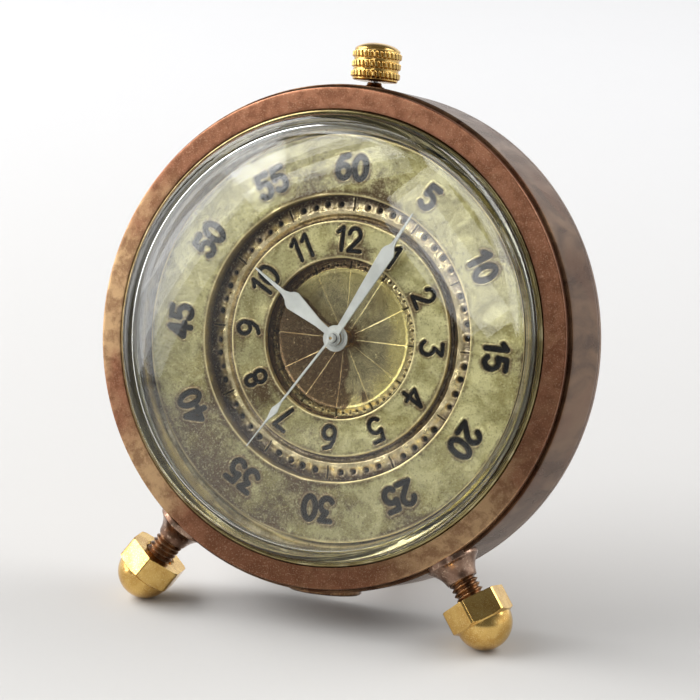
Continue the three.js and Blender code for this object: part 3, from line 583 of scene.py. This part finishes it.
def chapter_ring(name, node, edges, front, segments, step, numbers, at, height, stroke, spacing,
                 depth, stains, shaded, seed):
    """A raised brass ring with its numbers struck into it and blackened. at, height, stroke,
    spacing and depth are the numbers' circle and the size, weight, pitch and depth of their
    strokes; shaded is the angle where painted shade makes the ring darkest."""
    inner, outer = edges
    lip = 0.18
    top = rounded([(inner, front + 0.5), (inner, front), (outer, front), (outer, front + 0.5)], lip, 5)
    outline, on_face = plate_outline(subdivided(top, step),
                                     [(outer, RING_BACK), (inner, RING_BACK)])
    marks = {}

    def relief(radius, angle):
        gap = number_distance(radius, angle, numbers, at, height, spacing)
        groove = 1 - smooth(stroke / 2 - 0.22, stroke / 2 + 0.08, gap)
        black = 1 - smooth(stroke / 2 - 0.06, stroke / 2 + 0.08, gap)
        burr = hump(gap, stroke / 2 + 0.15, 0.09)
        halo = smooth(stroke / 2 + 0.7, stroke / 2, gap)
        flat = on_face * smooth(inner, inner + 0.4, radius) * smooth(outer, outer - 0.4, radius)
        edge = hump(radius, inner + 0.1, 0.16) + hump(radius, outer - 0.1, 0.18)
        patch = sum(weight * blob(radius, angle, r, a, size) for r, a, size, weight in stains)
        near_edge = 0.5 * (hump(radius, inner + 0.3, 0.5) + hump(radius, outer - 0.3, 0.4))
        # Painted shade on the ring's side walls.
        walls = 1.6 * (1 - on_face)
        marks["ink_and_shadow"] = black * flat
        # Painted shade: the ring darkens towards one side.
        marks["shade"] = smooth(-0.1, 1.0, np.cos(angle - math.radians(shaded)))
        # Rubbed bright metal with painted highlights along the ring's lips and the burrs round the numbers.
        marks["wear_and_highlight"] = np.clip(0.6 * edge + 0.15 * burr * flat, 0, 1) * on_face
        marks["stain_and_shade"] = patch + near_edge + walls + 0.75 * halo
        return flat * (depth * groove - 0.08 * burr + ripple(radius, angle, 0.05, seed))

    make_piece(name, loft(turned(outline, segments, relief), closed=True), OUTER_BRASS,
               node=node, sharp=60, marks=marks)


def dial_rings():
    """The two chapter rings. Each entry of outer_stains and inner_stains is a circle, an angle, a size and
    a weight.
    """
    minutes = [str(m or MINUTES) for m in range(0, MINUTES, 5)]
    hours = [str(h or HOURS) for h in range(HOURS)]
    outer_stains = [(26.5, 215, 5.5, 1.0), (21.0, 188, 4.0, 0.8), (24.0, 236, 5.0, 0.8),
                    (20.6, 12, 3.0, 0.9), (20.4, 345, 4.0, 0.8), (27.0, 60, 2.5, 0.7),
                    (26.8, 90, 2.0, 0.5), (26.5, 150, 3.5, 0.7), (23.0, 170, 3.0, 0.4),
                    (27.0, 195, 3.0, 0.7)]
    inner_stains = [(13.5, 232, 2.6, 0.9), (12.2, 10, 1.6, 0.9), (12.5, 350, 1.5, 0.6),
                    (15.0, 262, 2.0, 0.5), (12.0, 60, 1.6, 0.7), (14.0, 190, 2.2, 0.5),
                    (14.5, 120, 2.0, 0.3)]
    chapter_ring("outer_ring_face", "outer_chapter_ring", OUTER_RING, front=3.7, segments=1280,
                 step=0.13, numbers=minutes, at=23.3, height=3.65, stroke=0.78, spacing=1.06,
                 depth=0.3, stains=outer_stains, shaded=212, seed=4)
    chapter_ring("inner_ring_face", "inner_chapter_ring", INNER_RING, front=5.1, segments=1024,
                 step=0.105, numbers=hours, at=13.6, height=3.7, stroke=0.54, spacing=1.0,
                 depth=0.22, stains=inner_stains, shaded=265, seed=9)


def punch_marks(radius, angle, count, at, size, depth, seed):
    """Round punched dots on a circle, not quite even: their depth, their raised rims and the
    beads of metal pushed up between them, which carry painted highlights."""
    rng = np.random.default_rng(seed)
    slip = rng.normal(0, 0.07, count)
    weight = rng.uniform(0.75, 1.2, count)
    shine = rng.uniform(0.1, 1.0, count)
    pitch = math.tau / count
    which = np.round(angle / pitch).astype(int) % count
    offset = (angle + pitch / 2) % pitch - pitch / 2
    gap = np.hypot(radius - at - slip[which], offset * radius - slip[::-1][which])
    hole = depth * (1 - smooth(size * 0.5, size, gap / weight[which]))
    rim = 0.4 * depth * hump(gap, size * 1.35, size * 0.4)
    between = np.floor(angle / pitch).astype(int) % count
    middle = (angle % pitch - pitch / 2) * radius
    bead = shine[between] * hump(middle, 0, size * 1.1) * hump(radius, at - size, size * 1.5)
    near_hour = off_tick(angle, HOURS) < NEAR_HOUR
    return np.where(near_hour, 0, hole), np.where(near_hour, 0, rim), bead


def struck_lines(radius, angle, start, stop, width, depth):
    """Twelve radial cuts: the depth of the cut, its floor, and its lips, where painted highlights go."""
    offset = off_tick(angle, HOURS) * radius
    along = smooth(start - 0.1, start + 0.1, radius) * smooth(stop + 0.1, stop - 0.1, radius)
    cut = (1 - smooth(width * 0.35, width * 0.75, offset)) * along
    lips = hump(offset, width * 1.05, width * 0.4) * along
    return depth * cut, cut, lips


def dial_track():
    """The channel between the rings, with its minute dots."""
    marks = {}
    channel = [(15.9, 6.05), (16.3, 6.2), (16.75, 6.05), (17.1, 5.72), (17.6, 5.74), (18.1, 5.95),
               (19.6, 6.0)]
    outline, on_face = plate_outline(subdivided(channel, 0.11),
                                     [(19.6, PLATE_BACK), (15.9, PLATE_BACK)])

    def relief(radius, angle):
        hole, rim, bead = punch_marks(radius, angle, MINUTES, TRACK_DOTS_R, 0.44, 0.5, 5)
        cut, dark, lips = struck_lines(radius, angle, 17.5, 19.3, 0.18, 0.2)
        marks["ink_and_shadow"] = on_face * np.clip(hole / 0.45 + 0.7 * dark, 0, 1) * 0.97
        # Painted highlights on the inner side of each dot's rim, on the beads between dots, on the lips of
        # the cuts and on a ridge at 17.3 mm.
        inner_side = smooth(18.7, 18.3, radius)
        wear_and_highlight = rim * 1.2 * inner_side + 1.1 * bead + 0.3 * lips + 0.45 * hump(radius, 17.3, 0.4)
        marks["wear_and_highlight"] = on_face * np.clip(wear_and_highlight, 0, 0.85)
        # Painted shade in the channel beside both ring walls.
        corners = hump(radius, 19.4, 0.6) + 0.6 * hump(radius, 16.25, 0.3)
        marks["stain_and_shade"] = 0.3 + corners + 0.3 * blob(radius, angle, 18, 225, 14)
        return on_face * (hole - 0.5 * rim - 0.16 * bead + cut - 0.05 * lips
                          + ripple(radius, angle, 0.08, 21))

    make_piece("dial_track", loft(turned(outline, 1440, relief), closed=True), BASE_BRASS,
               node="dial_plate", sharp=60, marks=marks)


def dial_edge():
    """The part of the base plate outside the outer ring, with one turned groove, a painted shadow
    line at the foot of the outer ring and a painted highlight along the groove.
    """
    marks = {}
    groove_r = 28.35
    face = np.vstack([subdivided([(19.7, 6.02), (27.4, 6.02)], 4.0),
                      subdivided([(27.5, 6.02), (30.6, 6.0)], 0.16)])
    outline, _ = plate_outline(face, [(30.6, PLATE_BACK), (19.7, PLATE_BACK)])

    def relief(radius, angle):
        shown = smooth(27.6, 28.0, radius) * smooth(30.6, 30.3, radius)
        # Painted shadow: a dark line round the foot of the outer ring.
        marks["ink_and_shadow"] = 0.85 * hump(radius, 27.75, 0.2)
        # Painted highlight: a bright line along the groove.
        marks["wear_and_highlight"] = 0.8 * shown * hump(radius, groove_r, 0.22)
        blots = 0.9 * blob(radius, angle, 29, 262, 9) + 0.5 * blob(radius, angle, 29, 60, 9)
        marks["stain_and_shade"] = 0.1 + blots
        return shown * (ripple(radius, angle, 0.05, 33) - 0.12 * hump(radius, groove_r, 0.25))

    make_piece("dial_edge", loft(turned(outline, 900, relief), closed=True), EDGE_BRASS,
               node="dial_plate", sharp=60, marks=marks)


def dial_centre():
    """The dished middle: polished, half of it stained brown, with twelve cut rays and a ring
    of fine dots, and painted highlights and painted shade."""
    marks = {}
    dish = [(1.2, 6.98), (2.5, 6.97), (4.5, 6.93), (6.5, 6.84), (8.0, 6.73), (9.2, 6.6), (9.6, 6.5),
            (9.85, 6.62), (10.2, 6.78), (10.95, 6.8), (11.0, 6.3)]
    outline, on_face = plate_outline(subdivided(dish, 0.115),
                                     [(11.6, 6.3), (11.6, DISH_BACK), (1.2, DISH_BACK)])

    def relief(radius, angle):
        ray, ray_core, _ = struck_lines(radius, angle, 1.8, 9.5, 0.075, 0.05)
        mark, mark_core, _ = struck_lines(radius, angle, 9.6, 10.8, 0.22, 0.2)
        hole, rim, bead = punch_marks(radius, angle, MINUTES, CENTRE_DOTS_R, 0.19, 0.2, 6)
        x, z = radius * np.sin(angle), radius * np.cos(angle)
        wander = 1.0 * np.sin(x * 0.9 + 1.0) + 0.7 * np.sin(z * 1.3 + x * 0.4)
        wedge = radius * (np.cos(angle - math.radians(241)) - 0.42)
        brown = smooth(-0.6, 1.1, wedge + 0.5 * wander) * smooth(10.2, 9.4, radius)
        # Painted shade round the hub, on the step under the inner ring and on one side of the rim, and two
        # darker blots near the rim.
        painted_shade_and_blots = hump(radius, 0, 2.6) + 1.3 * smooth(10.5, 10.9, radius)
        painted_shade_and_blots = painted_shade_and_blots + 0.8 * smooth(9.5, 9.9, radius) * smooth(0.4, -0.6, np.cos(angle - 2.2))
        painted_shade_and_blots = painted_shade_and_blots + 0.9 * blob(radius, angle, 8.2, 172, 1.3)
        painted_shade_and_blots = painted_shade_and_blots + 0.8 * blob(radius, angle, 8.6, 152, 0.9)
        # Painted highlight: a yellow sheen near the rim of the dish, strongest towards one side.
        toward = 0.5 + 0.5 * np.cos(angle - math.radians(75))
        glow = smooth(6.0, 9.3, radius + 0.8 * wander) * smooth(10.0, 9.5, radius)
        marks["gilt"] = on_face * np.clip(glow * (0.35 + 0.5 * toward), 0, 0.9)
        marks["ink_and_shadow"] = on_face * np.clip(hole / 0.2 + mark_core, 0, 1) * 0.9
        # Bright cut rays, and painted highlights on the dots' rims and, on one side of the dish only, on
        # their beads.
        shown = smooth(-0.9, 0.2, np.cos(angle - 2.6))
        beads = 0.9 * bead + 0.4 * hump(radius, CENTRE_DOTS_R, 0.35)
        marks["wear_and_highlight"] = on_face * np.clip(0.6 * ray_core + rim + shown * beads, 0, 0.8)
        marks["stain_and_shade"] = 2.4 * brown + painted_shade_and_blots
        return on_face * (ray + mark + hole - rim + ripple(radius, angle, 0.015, 8))

    make_piece("dial_centre", loft(turned(outline, 840, relief), closed=True), CENTRE_BRASS,
               node="dial_plate", sharp=60, marks=marks)


# ------------------ hands

def hand_piece(body, blade, degrees, hub_r, front, back, collar):
    """A flat hand with softly rounded edges, and a raised collar round its bore. blade is
    (distance from the centre, half width); collar is its inner and outer radius and its top."""
    right = [(half, length) for length, half in blade]
    left = [(-half, length) for length, half in reversed(blade)]
    neck = math.degrees(math.asin(min(1.0, blade[0][1] / hub_r)))
    hub = arc(0, 0, hub_r, hub_r, 90 + neck, 450 - neck, 40)
    outline = np.array(right + left + hub[1:-1])
    turn = math.radians(degrees)
    x = outline[:, 0] * math.cos(turn) + outline[:, 1] * math.sin(turn)
    z = -outline[:, 0] * math.sin(turn) + outline[:, 1] * math.cos(turn)
    work = bmesh.new()
    verts = [work.verts.new(p) for p in to_world(np.stack([x, np.full_like(x, front), z], 1))]
    push = bmesh.ops.extrude_face_region(work, geom=[work.faces.new(verts)])
    moved = [g for g in push["geom"] if isinstance(g, bmesh.types.BMVert)]
    bmesh.ops.translate(work, verts=moved, vec=Vector(DIAL_AXES[1] * (back - front) * MM))
    bmesh.ops.recalc_face_normals(work, faces=work.faces)
    name = f"{body}_white"
    mesh = bpy.data.meshes.new(name)
    work.to_mesh(mesh)
    work.free()
    piece = new_object(name, mesh)
    bevel = piece.modifiers.new("edges", "BEVEL")
    bevel.width, bevel.segments, bevel.limit_method = 0.045 * MM, 3, "ANGLE"
    bevel.angle_limit = math.radians(50)
    mesh.shade_smooth()
    mesh.set_sharp_from_angle(angle=math.radians(40))
    mesh.materials.append(HAND)
    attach(piece, body)
    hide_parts(body)
    inner, outer, high = collar
    ring = rounded([(inner, back), (inner, high), (outer, high), (outer, back)], 0.06, 4)
    make_piece(f"{name}_collar", loft(turned(ring, 64), closed=True), HAND, body)


def hands():
    """At about five past ten, with the second hand near thirty-six."""
    hour = [(1.7, 0.46), (3.4, 0.55), (8.2, 1.34), (8.75, 1.1), (9.2, 0.66), (9.9, 0.38), (10.6, 0.3),
            (15.4, 0.1)]
    minute = [(0.95, 0.42), (4.0, 0.52), (14.0, 1.04), (14.5, 0.86), (14.95, 0.5), (15.5, 0.3),
              (16.2, 0.24), (20.3, 0.09)]
    second = [(0.6, 0.16), (11.4, 0.14), (12.1, 0.3), (12.8, 0.52), (13.3, 0.44), (14.3, 0.18),
              (15.4, 0.12), (19.3, 0.07)]
    hand_piece("hour_hand", hour, 303.1, hub_r=1.8, front=3.7, back=3.95, collar=(1.02, 1.3, 3.5))
    hand_piece("minute_hand", minute, 28.5, hub_r=1.05, front=2.9, back=3.15, collar=(0.69, 0.86, 2.78))
    hand_piece("second_hand", second, 214.1, hub_r=0.65, front=2.1, back=2.3, collar=(0.22, 0.5, 1.98))


# ------------------ case

def case():
    """The bezel, the case wall and the brass ring that holds the crystal. A patch on the bezel
    is an angle, a size and a weight."""
    front = rounded([(BEZEL_BORE, 1.5), (BEZEL_BORE, 0.02), (BEZEL_R, 0.32), (BEZEL_R, 1.5)],
                    [0, 0.14, 0.22, 0], 5)
    rings = turned(subdivided(front, 0.45, closed=True), 512)
    radius, angle = np.hypot(rings[..., 0], rings[..., 2]), np.arctan2(rings[..., 0], rings[..., 2])

    def patches(rows):
        return sum(weight * blob(radius, angle, BEZEL_MIDDLE, a, size) for a, size, weight in rows)

    # Pale and brown patches round the bezel: partly patina, partly painted light and shade.
    sandy = patches([(272, 11, 1.2), (248, 8, -0.5), (230, 8, 1.0), (305, 6, 0.3), (140, 9, 1.6),
                     (205, 6, -0.6), (345, 14, -0.7), (60, 16, -0.3), (325, 9, -0.8)])
    dusky = patches([(182, 13, 0.9), (75, 20, 0.55), (110, 10, 0.4), (205, 6, 0.4), (158, 6, 0.5),
                     (318, 11, 0.4)])
    make_piece("bezel_ring", loft(rings, closed=True), BEZEL, node="bezel",
               marks={"sandy": sandy, "dusky": np.clip(dusky, 0, 1)})

    band = rounded([(BORE_R, 1.55), (CASE_R, 1.55), (CASE_R, 13.0), (BORE_R, 13.0)],
                   [0, 0.18, 0.12, 0], 4)
    make_piece("case_band_wall", loft(turned(subdivided(band, 0.8, closed=True), 384), closed=True), BAND,
               node="case_band")

    ring = rounded([(30.45, -0.1), (30.52, -0.22), (30.68, -0.22), (30.9, -0.02), (30.9, 5.9),
                    (29.2, 5.9), (29.2, 2.55), (30.45, 2.55)],
                   [0.03, 0.04, 0.05, 0.1, 0, 0.05, 0.1, 0], 3, closed=True)
    make_piece("crystal_ring_brass", loft(turned(subdivided(ring, 0.8, closed=True), 384), closed=True),
               METAL["ring_brass"], node="crystal_ring")


def dome(radius, apex, shoulder, arc_size, seat, steps=24):
    """Half of a dome's outline, apex first: a spherical cap, a rounded shoulder and a wall."""
    cap_r = radius - arc_size
    cap_y = shoulder - arc_size * 0.95
    rise = cap_y - apex
    sphere = (cap_r ** 2 + rise ** 2) / (2 * rise)
    points = [(cap_r * i / steps, apex + sphere - math.sqrt(sphere ** 2 - (cap_r * i / steps) ** 2))
              for i in range(1, steps + 1)]
    tilt = math.degrees(math.asin(cap_r / sphere))
    for i in range(1, 9):
        turn = math.radians(tilt + (90 - tilt) * i / 8)
        points.append((cap_r + arc_size * math.sin(turn), shoulder - arc_size * math.cos(turn)))
    points.append((radius, seat))
    return points


def crystal():
    inner_r, inner_apex = CRYSTAL_R - CRYSTAL_WALL, CRYSTAL_APEX + CRYSTAL_WALL
    outside = dome(CRYSTAL_R, CRYSTAL_APEX, -0.4, 1.7, CRYSTAL_SEAT)
    inside = dome(inner_r, inner_apex, 0.5, 0.9, CRYSTAL_SEAT)
    outline = [(0.02, CRYSTAL_APEX)] + outside + inside[::-1] + [(0.02, inner_apex)]
    make_piece("crystal_dome", loft(turned(outline, 192)), CRYSTAL, node="crystal",
               sharp=50)


def cut_away(piece, points, faces):
    """Takes a solid shape out of a piece."""
    mesh = bpy.data.meshes.new("cutter")
    mesh.from_pydata(to_world(points).tolist(), [], faces)
    tool = new_object("cutter", mesh)
    cut = piece.modifiers.new("cut", "BOOLEAN")
    cut.object, cut.operation, cut.solver = tool, "DIFFERENCE", "EXACT"
    bpy.context.view_layer.update()
    made = bpy.data.meshes.new_from_object(piece.evaluated_get(bpy.context.evaluated_depsgraph_get()))
    piece.modifiers.clear()
    piece.data = made
    bpy.data.objects.remove(tool)
    piece.data.shade_smooth()
    piece.data.set_sharp_from_angle(angle=math.radians(32))


def screw_head(name, node, x, z):
    """A slotted cheese head in its seat."""
    head = rounded([(0.84, 13.66), (0.84, 14.05), (0.01, 14.05)], [0, 0.1, 0], 4)
    piece = make_piece(name, loft(turned(head, 48) + np.array([x, 0, z])), METAL["steel"],
                       node=node)
    turn = math.atan2(z, x) + 0.6
    half_length, half_width, slot_floor, above = 1, 0.12, 13.82, 14.3
    corners = [(-half_length, -half_width), (half_length, -half_width),
               (half_length, half_width), (-half_length, half_width)]
    slot = np.array([(u * math.cos(turn) - v * math.sin(turn) + x, y,
                      u * math.sin(turn) + v * math.cos(turn) + z)
                     for y in (slot_floor, above) for u, v in corners])
    cut_away(piece, slot, [(0, 1, 2, 3), (7, 6, 5, 4), (0, 4, 5, 1), (1, 5, 6, 2), (2, 6, 7, 3),
                           (3, 7, 4, 0)])


def back():
    """The back cover, with four screws sunk into its rim."""
    edge = rounded([(CASE_R, COVER_FRONT), (CASE_R, COVER_BACK), (0.02, COVER_BACK)], [0, 0.3, 0], 5)
    outline = subdivided(np.vstack([[(0.02, COVER_FRONT)], edge]), 1.5)
    cover = make_piece("back_cover_disc", loft(turned(outline, 384)), METAL["back_copper"],
                       node="back_cover")
    seat = turned([(0.95, 13.6), (0.95, 15.0)], 40)
    for i, degrees in enumerate(SCREW_ANGLES, 1):
        turn = math.radians(degrees)
        x, z = SCREW_CIRCLE * math.cos(turn), SCREW_CIRCLE * math.sin(turn)
        cut_away(cover, *loft(seat + np.array([x, 0, z])))
        screw_head(f"back_screw_head_{i}", f"back_screw_{i}", x, z)


# ------------------ feet

def boss_rings(start):
    """A flared collar between the case and a stud. start is its lowest level at the case."""
    profile = rounded([(3.72, start), (3.72, 0.16), (3.3, 0.5), (2.75, 1.15), (2.36, 1.9), (2.14, 2.74),
                       (2.0, 2.74)], [0, 0.12, 0.2, 0.35, 0.35, 0.06, 0], 5)
    return turned(np.vstack([[(2.0, start)], profile]), 128)


def stud_rings(stop):
    """A screw thread: a ridge that climbs one pitch in each turn."""
    pitch, crest, root, around = 0.7, 1.98, 1.6, 72
    along = np.arange(0.6, stop, 0.035)
    turn = np.arange(around) * math.tau / around
    share = (along[:, None] / pitch - turn[None, :] / math.tau) % 1.0
    flank = np.clip(np.abs(share - 0.5) * 2.6 - 0.18, 0, 1)
    radius = crest - (crest - root) * flank
    depth = np.repeat(along[:, None], around, 1)
    return np.stack([radius * np.sin(turn), depth, radius * np.cos(turn)], axis=-1)


def nut_rings(start, turn_degrees):
    """A domed cap nut as rings: a hexagon whose corners are chamfered at both ends, a narrow
    shoulder and a dome."""
    around, half_side, worn_off = 240, math.pi / 6, 0.1
    turn = np.arange(around) * math.tau / around
    apothem = NUT_FLATS / 2
    sector = (turn + half_side) % (2 * half_side) - half_side
    hexagon = apothem / np.cos(sector)
    edge = apothem / math.cos(half_side) - worn_off
    hexagon = np.minimum(hexagon, edge - (hexagon - edge) * 0.3)
    levels = np.concatenate([np.linspace(0, 0.5, 9), np.linspace(0.6, HEX_LENGTH - 0.6, 6),
                             np.linspace(HEX_LENGTH - 0.5, HEX_LENGTH, 9)])
    rings = []
    for level in levels:
        low = apothem + 0.38 + level * 2.2
        high = apothem + 0.12 + (HEX_LENGTH - level) * 2.2
        rings.append((np.minimum(np.minimum(hexagon, low), high), level))
    for angle in np.linspace(3, 87, 26):
        size = DOME_R * math.cos(math.radians(angle))
        rings.append((np.full(around, size), DOME_CENTRE + DOME_R * math.sin(math.radians(angle))))
    bore = [(2.1, 0.9), (2.1, 0.25), (2.4, 0.0), (3.9, 0.0)]
    rings = [(np.full(around, r), y) for r, y in bore] + rings
    spin = turn + math.radians(turn_degrees) + half_side
    return stacked([(r, start + y) for r, y in rings], spin)


def feet():
    """Three feet of a boss, a stud and a domed nut, and the low round pad at six o'clock."""
    low, high = (np.array(corner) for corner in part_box("acorn_nut_rear"))
    rear = float(((low + high) / 2 - CENTRE) @ DIAL_AXES[2] / MM)
    places = {
        "left": (lambda p: onto_wall(p, LEG_ANGLE, LEG_Y), -0.55, NUT_START, 47),
        "right": (lambda p: onto_wall(p, -LEG_ANGLE, LEG_Y), -0.55, NUT_START, 59),
        "rear": (lambda p: onto_back(p, rear), 0.02, REAR_NUT_START, 30),
    }
    for side, (place, start, nut_start, turn) in places.items():
        make_piece(f"boss_{side}", loft(place(boss_rings(start)), closed=True), METAL["boss_copper"],
                   node=f"leg_boss_{side}")
        make_piece(f"stud_{side}", loft(place(stud_rings(nut_start + 0.8))), METAL["dark_brass"],
                   node=f"leg_stud_{side}", sharp=80)
        make_piece(f"nut_{side}", loft(place(nut_rings(nut_start, turn))), METAL["gold_brass"],
                   node=f"acorn_nut_{side}", sharp=24)
    pad_r, pad_low, pad_y = 5.1, -0.6, 8.6
    top = rounded([(pad_r, pad_low), (pad_r, 0.35), (4.75, 0.6), (0.02, 0.6)], [0, 0.15, 0.2, 0], 4)
    pad = np.vstack([[(0.02, pad_low)], subdivided(top, 0.8)])
    make_piece("foot_pad", loft(onto_wall(turned(pad, 96), 0, pad_y)), METAL["dark_brass"],
               node="bottom_plug")


# ------------------ crown

def crown():
    """The knurled crown, in three bands with a domed top, and the neck that it turns on."""
    low, top, teeth, around = 35.45, 40.8, 30, 360
    band, groove, size, core = 1.05, 0.3, 3.4, 3.12
    foot = [(0.6, low), (2.75, low), (2.95, low + 0.04), (3.06, low + 0.12)]
    cap = [(3.12, 1.1), (3.14, 1.02), (3.06, 0.92), (2.85, 0.72), (2.5, 0.5), (2.0, 0.3), (1.4, 0.14),
           (0.7, 0.04), (0.02, 0.0)]
    turn = np.arange(around) * math.tau / around
    rings = [(np.full(around, radius), level) for radius, level in foot]
    for level in np.arange(low + 0.2, top - 1.2, 0.07):
        rise = level - low - 0.35
        which = int(np.clip(rise // (band + groove), 0, 2))
        within = (rise - which * (band + groove)) / band
        share = (turn / math.tau * teeth + which * 0.5 + 0.35 * within) % 1.0
        tooth = smooth(0.0, 0.5, 1 - np.abs(share * 2 - 1))
        ends = smooth(0.0, 0.22, within) * smooth(1.0, 0.78, within)
        rings.append((core + (size - core) * tooth * ends, level))
    rings += [(np.full(around, radius), top - below) for radius, below in cap]
    make_piece("crown_knob", loft(along_stem(stacked(rings, turn))), METAL["gold_brass"], "crown",
               node="crown", sharp=50)

    tube = rounded([(0.7, 32.6), (0.95, 32.6), (0.95, 33.9), (1.5, 34.5), (1.5, 34.7), (1.06, 34.85),
                    (0.95, 35.3), (0.7, 35.3)], [0, 0, 0.2, 0.06, 0.06, 0.2, 0.05, 0], 4)
    make_piece("crown_neck", loft(along_stem(turned(tube, 64)), closed=True), METAL["dark_brass"],
               node="crown_tube")


# ------------------ carried-over nodes

INNER_METALS = ("movement_gilt", "movement_plate", "blue_steel")


def inner_finish():
    """The sealed movement keeps its CAD shapes and gets metal finishes with wear."""
    slots = {part["node"]: part["material_slot"] for part in frame["record"]["subparts"]}
    for name, node in frame["nodes"].items():
        if not node.hide_render:
            slot = slots.get(name)
            node.data.materials.clear()
            node.data.materials.append(METAL[slot if slot in INNER_METALS else "steel"])


# ------------------ studio

def panel(name, middle, across, up, radiance):
    """A soft box: a flat light of even brightness. across and up are its edges, in metres,
    and it shines towards the object."""
    across, up = Vector(across), Vector(up)
    light = bpy.data.lights.new(name, "AREA")
    light.shape = "RECTANGLE"
    light.size, light.size_y = across.length, up.length
    light.energy = radiance * math.pi * across.length * up.length
    holder = new_object(name, light)
    x, z = across.normalized(), across.cross(up).normalized()
    if z.dot(Vector(middle)) < 0:
        x, z = -x, -z
    turned_to = Matrix((x, z.cross(x), z)).transposed().to_4x4()
    holder.matrix_world = Matrix.Translation(Vector(middle)) @ turned_to


def strips(corner, into, stripes):
    """Strips of a wall or ceiling: the middle, the depth and the radiance of each. A stripe is
    where it starts and stops, in lengths of into from the corner, and its radiance."""
    into = np.array(into)
    return [(np.array(corner) + into * (start + stop) / 2, into * (stop - start), radiance)
            for start, stop, radiance in stripes]


def sky():
    """An even light from all round that is weak in front of the object and overhead."""
    world = bpy.data.worlds.new("studio")
    world.use_nodes = True
    nodes = Nodes(world.node_tree)
    direction = nodes.add("ShaderNodeTexCoord").outputs["Generated"]

    def share_along(axis, low, high):
        toward = nodes.vector("DOT_PRODUCT", direction, Vector(axis).normalized())
        return nodes.step(toward.outputs["Value"], low, high)

    lit = nodes.times(share_along((-0.2, 0.97, 0.0), -0.85, -0.1),
                      share_along((0.0, 0.0, -1.0), -0.6, -0.15))
    source = world.node_tree.nodes["Background"]
    nodes.feed(source.inputs["Strength"], nodes.sum(lit, 0.15))
    source.inputs["Color"].default_value = (1.0, 1.0, 1.0, 1.0)
    bpy.context.scene.world = world


def floor():
    """Pale paper, painted a little darker in front of the object than behind it as painted
    fall-off of light, and darker still in a band close in front as painted shade.
    """
    look = Finish("floor")
    mottle = look.noise(40.0, 3.0, 0.5)
    where = look.add("ShaderNodeSeparateXYZ", {0: look.place})
    front_paper, rear_paper = (0.57, 0.56, 0.545, 1), (0.67, 0.67, 0.678, 1)
    painted_shade_paper, fleck = (0.42, 0.42, 0.42, 1), (0.5, 0.5, 0.5, 1)
    # Painted fall-off of light: paler paper behind the object, darker in front.
    paper = look.mix(look.step(where.outputs[1], -0.05, 0.45), front_paper, rear_paper)
    ahead = look.vector("DOT_PRODUCT", look.place, (-0.395, 0.919, 0.0)).outputs["Value"]
    # Painted shade: a darker band of floor close in front of the object.
    paper = look.mix(look.step(ahead, -0.045, -0.16), paper, painted_shade_paper)
    look.set(Base_Color=look.mix(look.times(mottle, 0.05), paper, fleck), Roughness=0.75)
    look.set(Normal=look.bump(look.noise(0.6, 3.0, 0.6), 0.01))
    side, steps = 6.0, 12
    row = steps + 1
    grid = [(-side + 2 * side * i / steps, -side + 2 * side * j / steps, 0.0)
            for j in range(row) for i in range(row)]
    quads = [(j * row + i, j * row + i + 1, (j + 1) * row + i + 1, (j + 1) * row + i)
             for j in range(steps) for i in range(steps)]
    mesh = bpy.data.meshes.new("floor")
    mesh.from_pydata(grid, [], quads)
    mesh.materials.append(look.material)
    new_object("floor", mesh)


def studio():
    """The sky, the floor, and soft boxes: their strips give the crystal its soft haze."""
    sky()
    wall = strips((-1.0, -0.995, 0.5), (0.0, 0.916, 0.401),
                  [(0.05, 0.2, 2.0), (0.2, 0.37, 4.9), (0.46, 1.8, 3.35)])
    for i, (middle, depth, radiance) in enumerate(wall):
        panel(f"left_wall_{i}", middle, depth, (0.0, -0.52, 1.19), radiance)
    ceiling = strips((-0.755, -1.305, 1.1), (-0.294, 0.956, 0.0),
                     [(0.06, 0.17, 2.0), (0.17, 0.27, 4.9), (0.36, 1.9, 3.35)])
    for i, (middle, depth, radiance) in enumerate(ceiling):
        panel(f"ceiling_{i}", middle, (1.1, 0.34, 0.0), depth, radiance)
    panel("high_window", (0.0, -1.03, 0.62), (0.42, -0.2, -0.38), (0.07, 0.1, 0.15), 3.2)
    panel("rear_right", (0.95, 0.75, 1.1), (0.8, -0.9, 0.0), (-0.5, -0.4, 0.8), 3.9)
    floor()
    bpy.context.scene.view_settings.view_transform = "Standard"


def camera():
    """A long lens from the right and a little above, seven degrees or so across."""
    azimuth, elevation = math.radians(23.27), math.radians(15.65)
    away, right_of, below = 0.40524, 0.003264, 0.001605
    sensor, focal_pixels, image_pixels = 36.0, 3000, 700
    ahead = Vector((-math.sin(azimuth) * math.cos(elevation), math.cos(azimuth) * math.cos(elevation),
                    -math.sin(elevation)))
    right = Vector((math.cos(azimuth), math.sin(azimuth), 0.0))
    up = right.cross(ahead)
    data = bpy.data.cameras.new("camera")
    data.sensor_width = sensor
    data.lens = sensor * focal_pixels / image_pixels
    data.clip_start, data.clip_end = 0.01, 50.0
    view = new_object("camera", data)
    place = Vector(CENTRE) + right * right_of - up * below - ahead * away
    view.matrix_world = Matrix.Translation(place) @ Matrix((right, up, -ahead)).transposed().to_4x4()
    bpy.context.scene.camera = view


for build in (camera, studio, case, crystal, back, feet, crown, dial_rings, dial_track, dial_edge,
              dial_centre, hands, inner_finish):
    build()
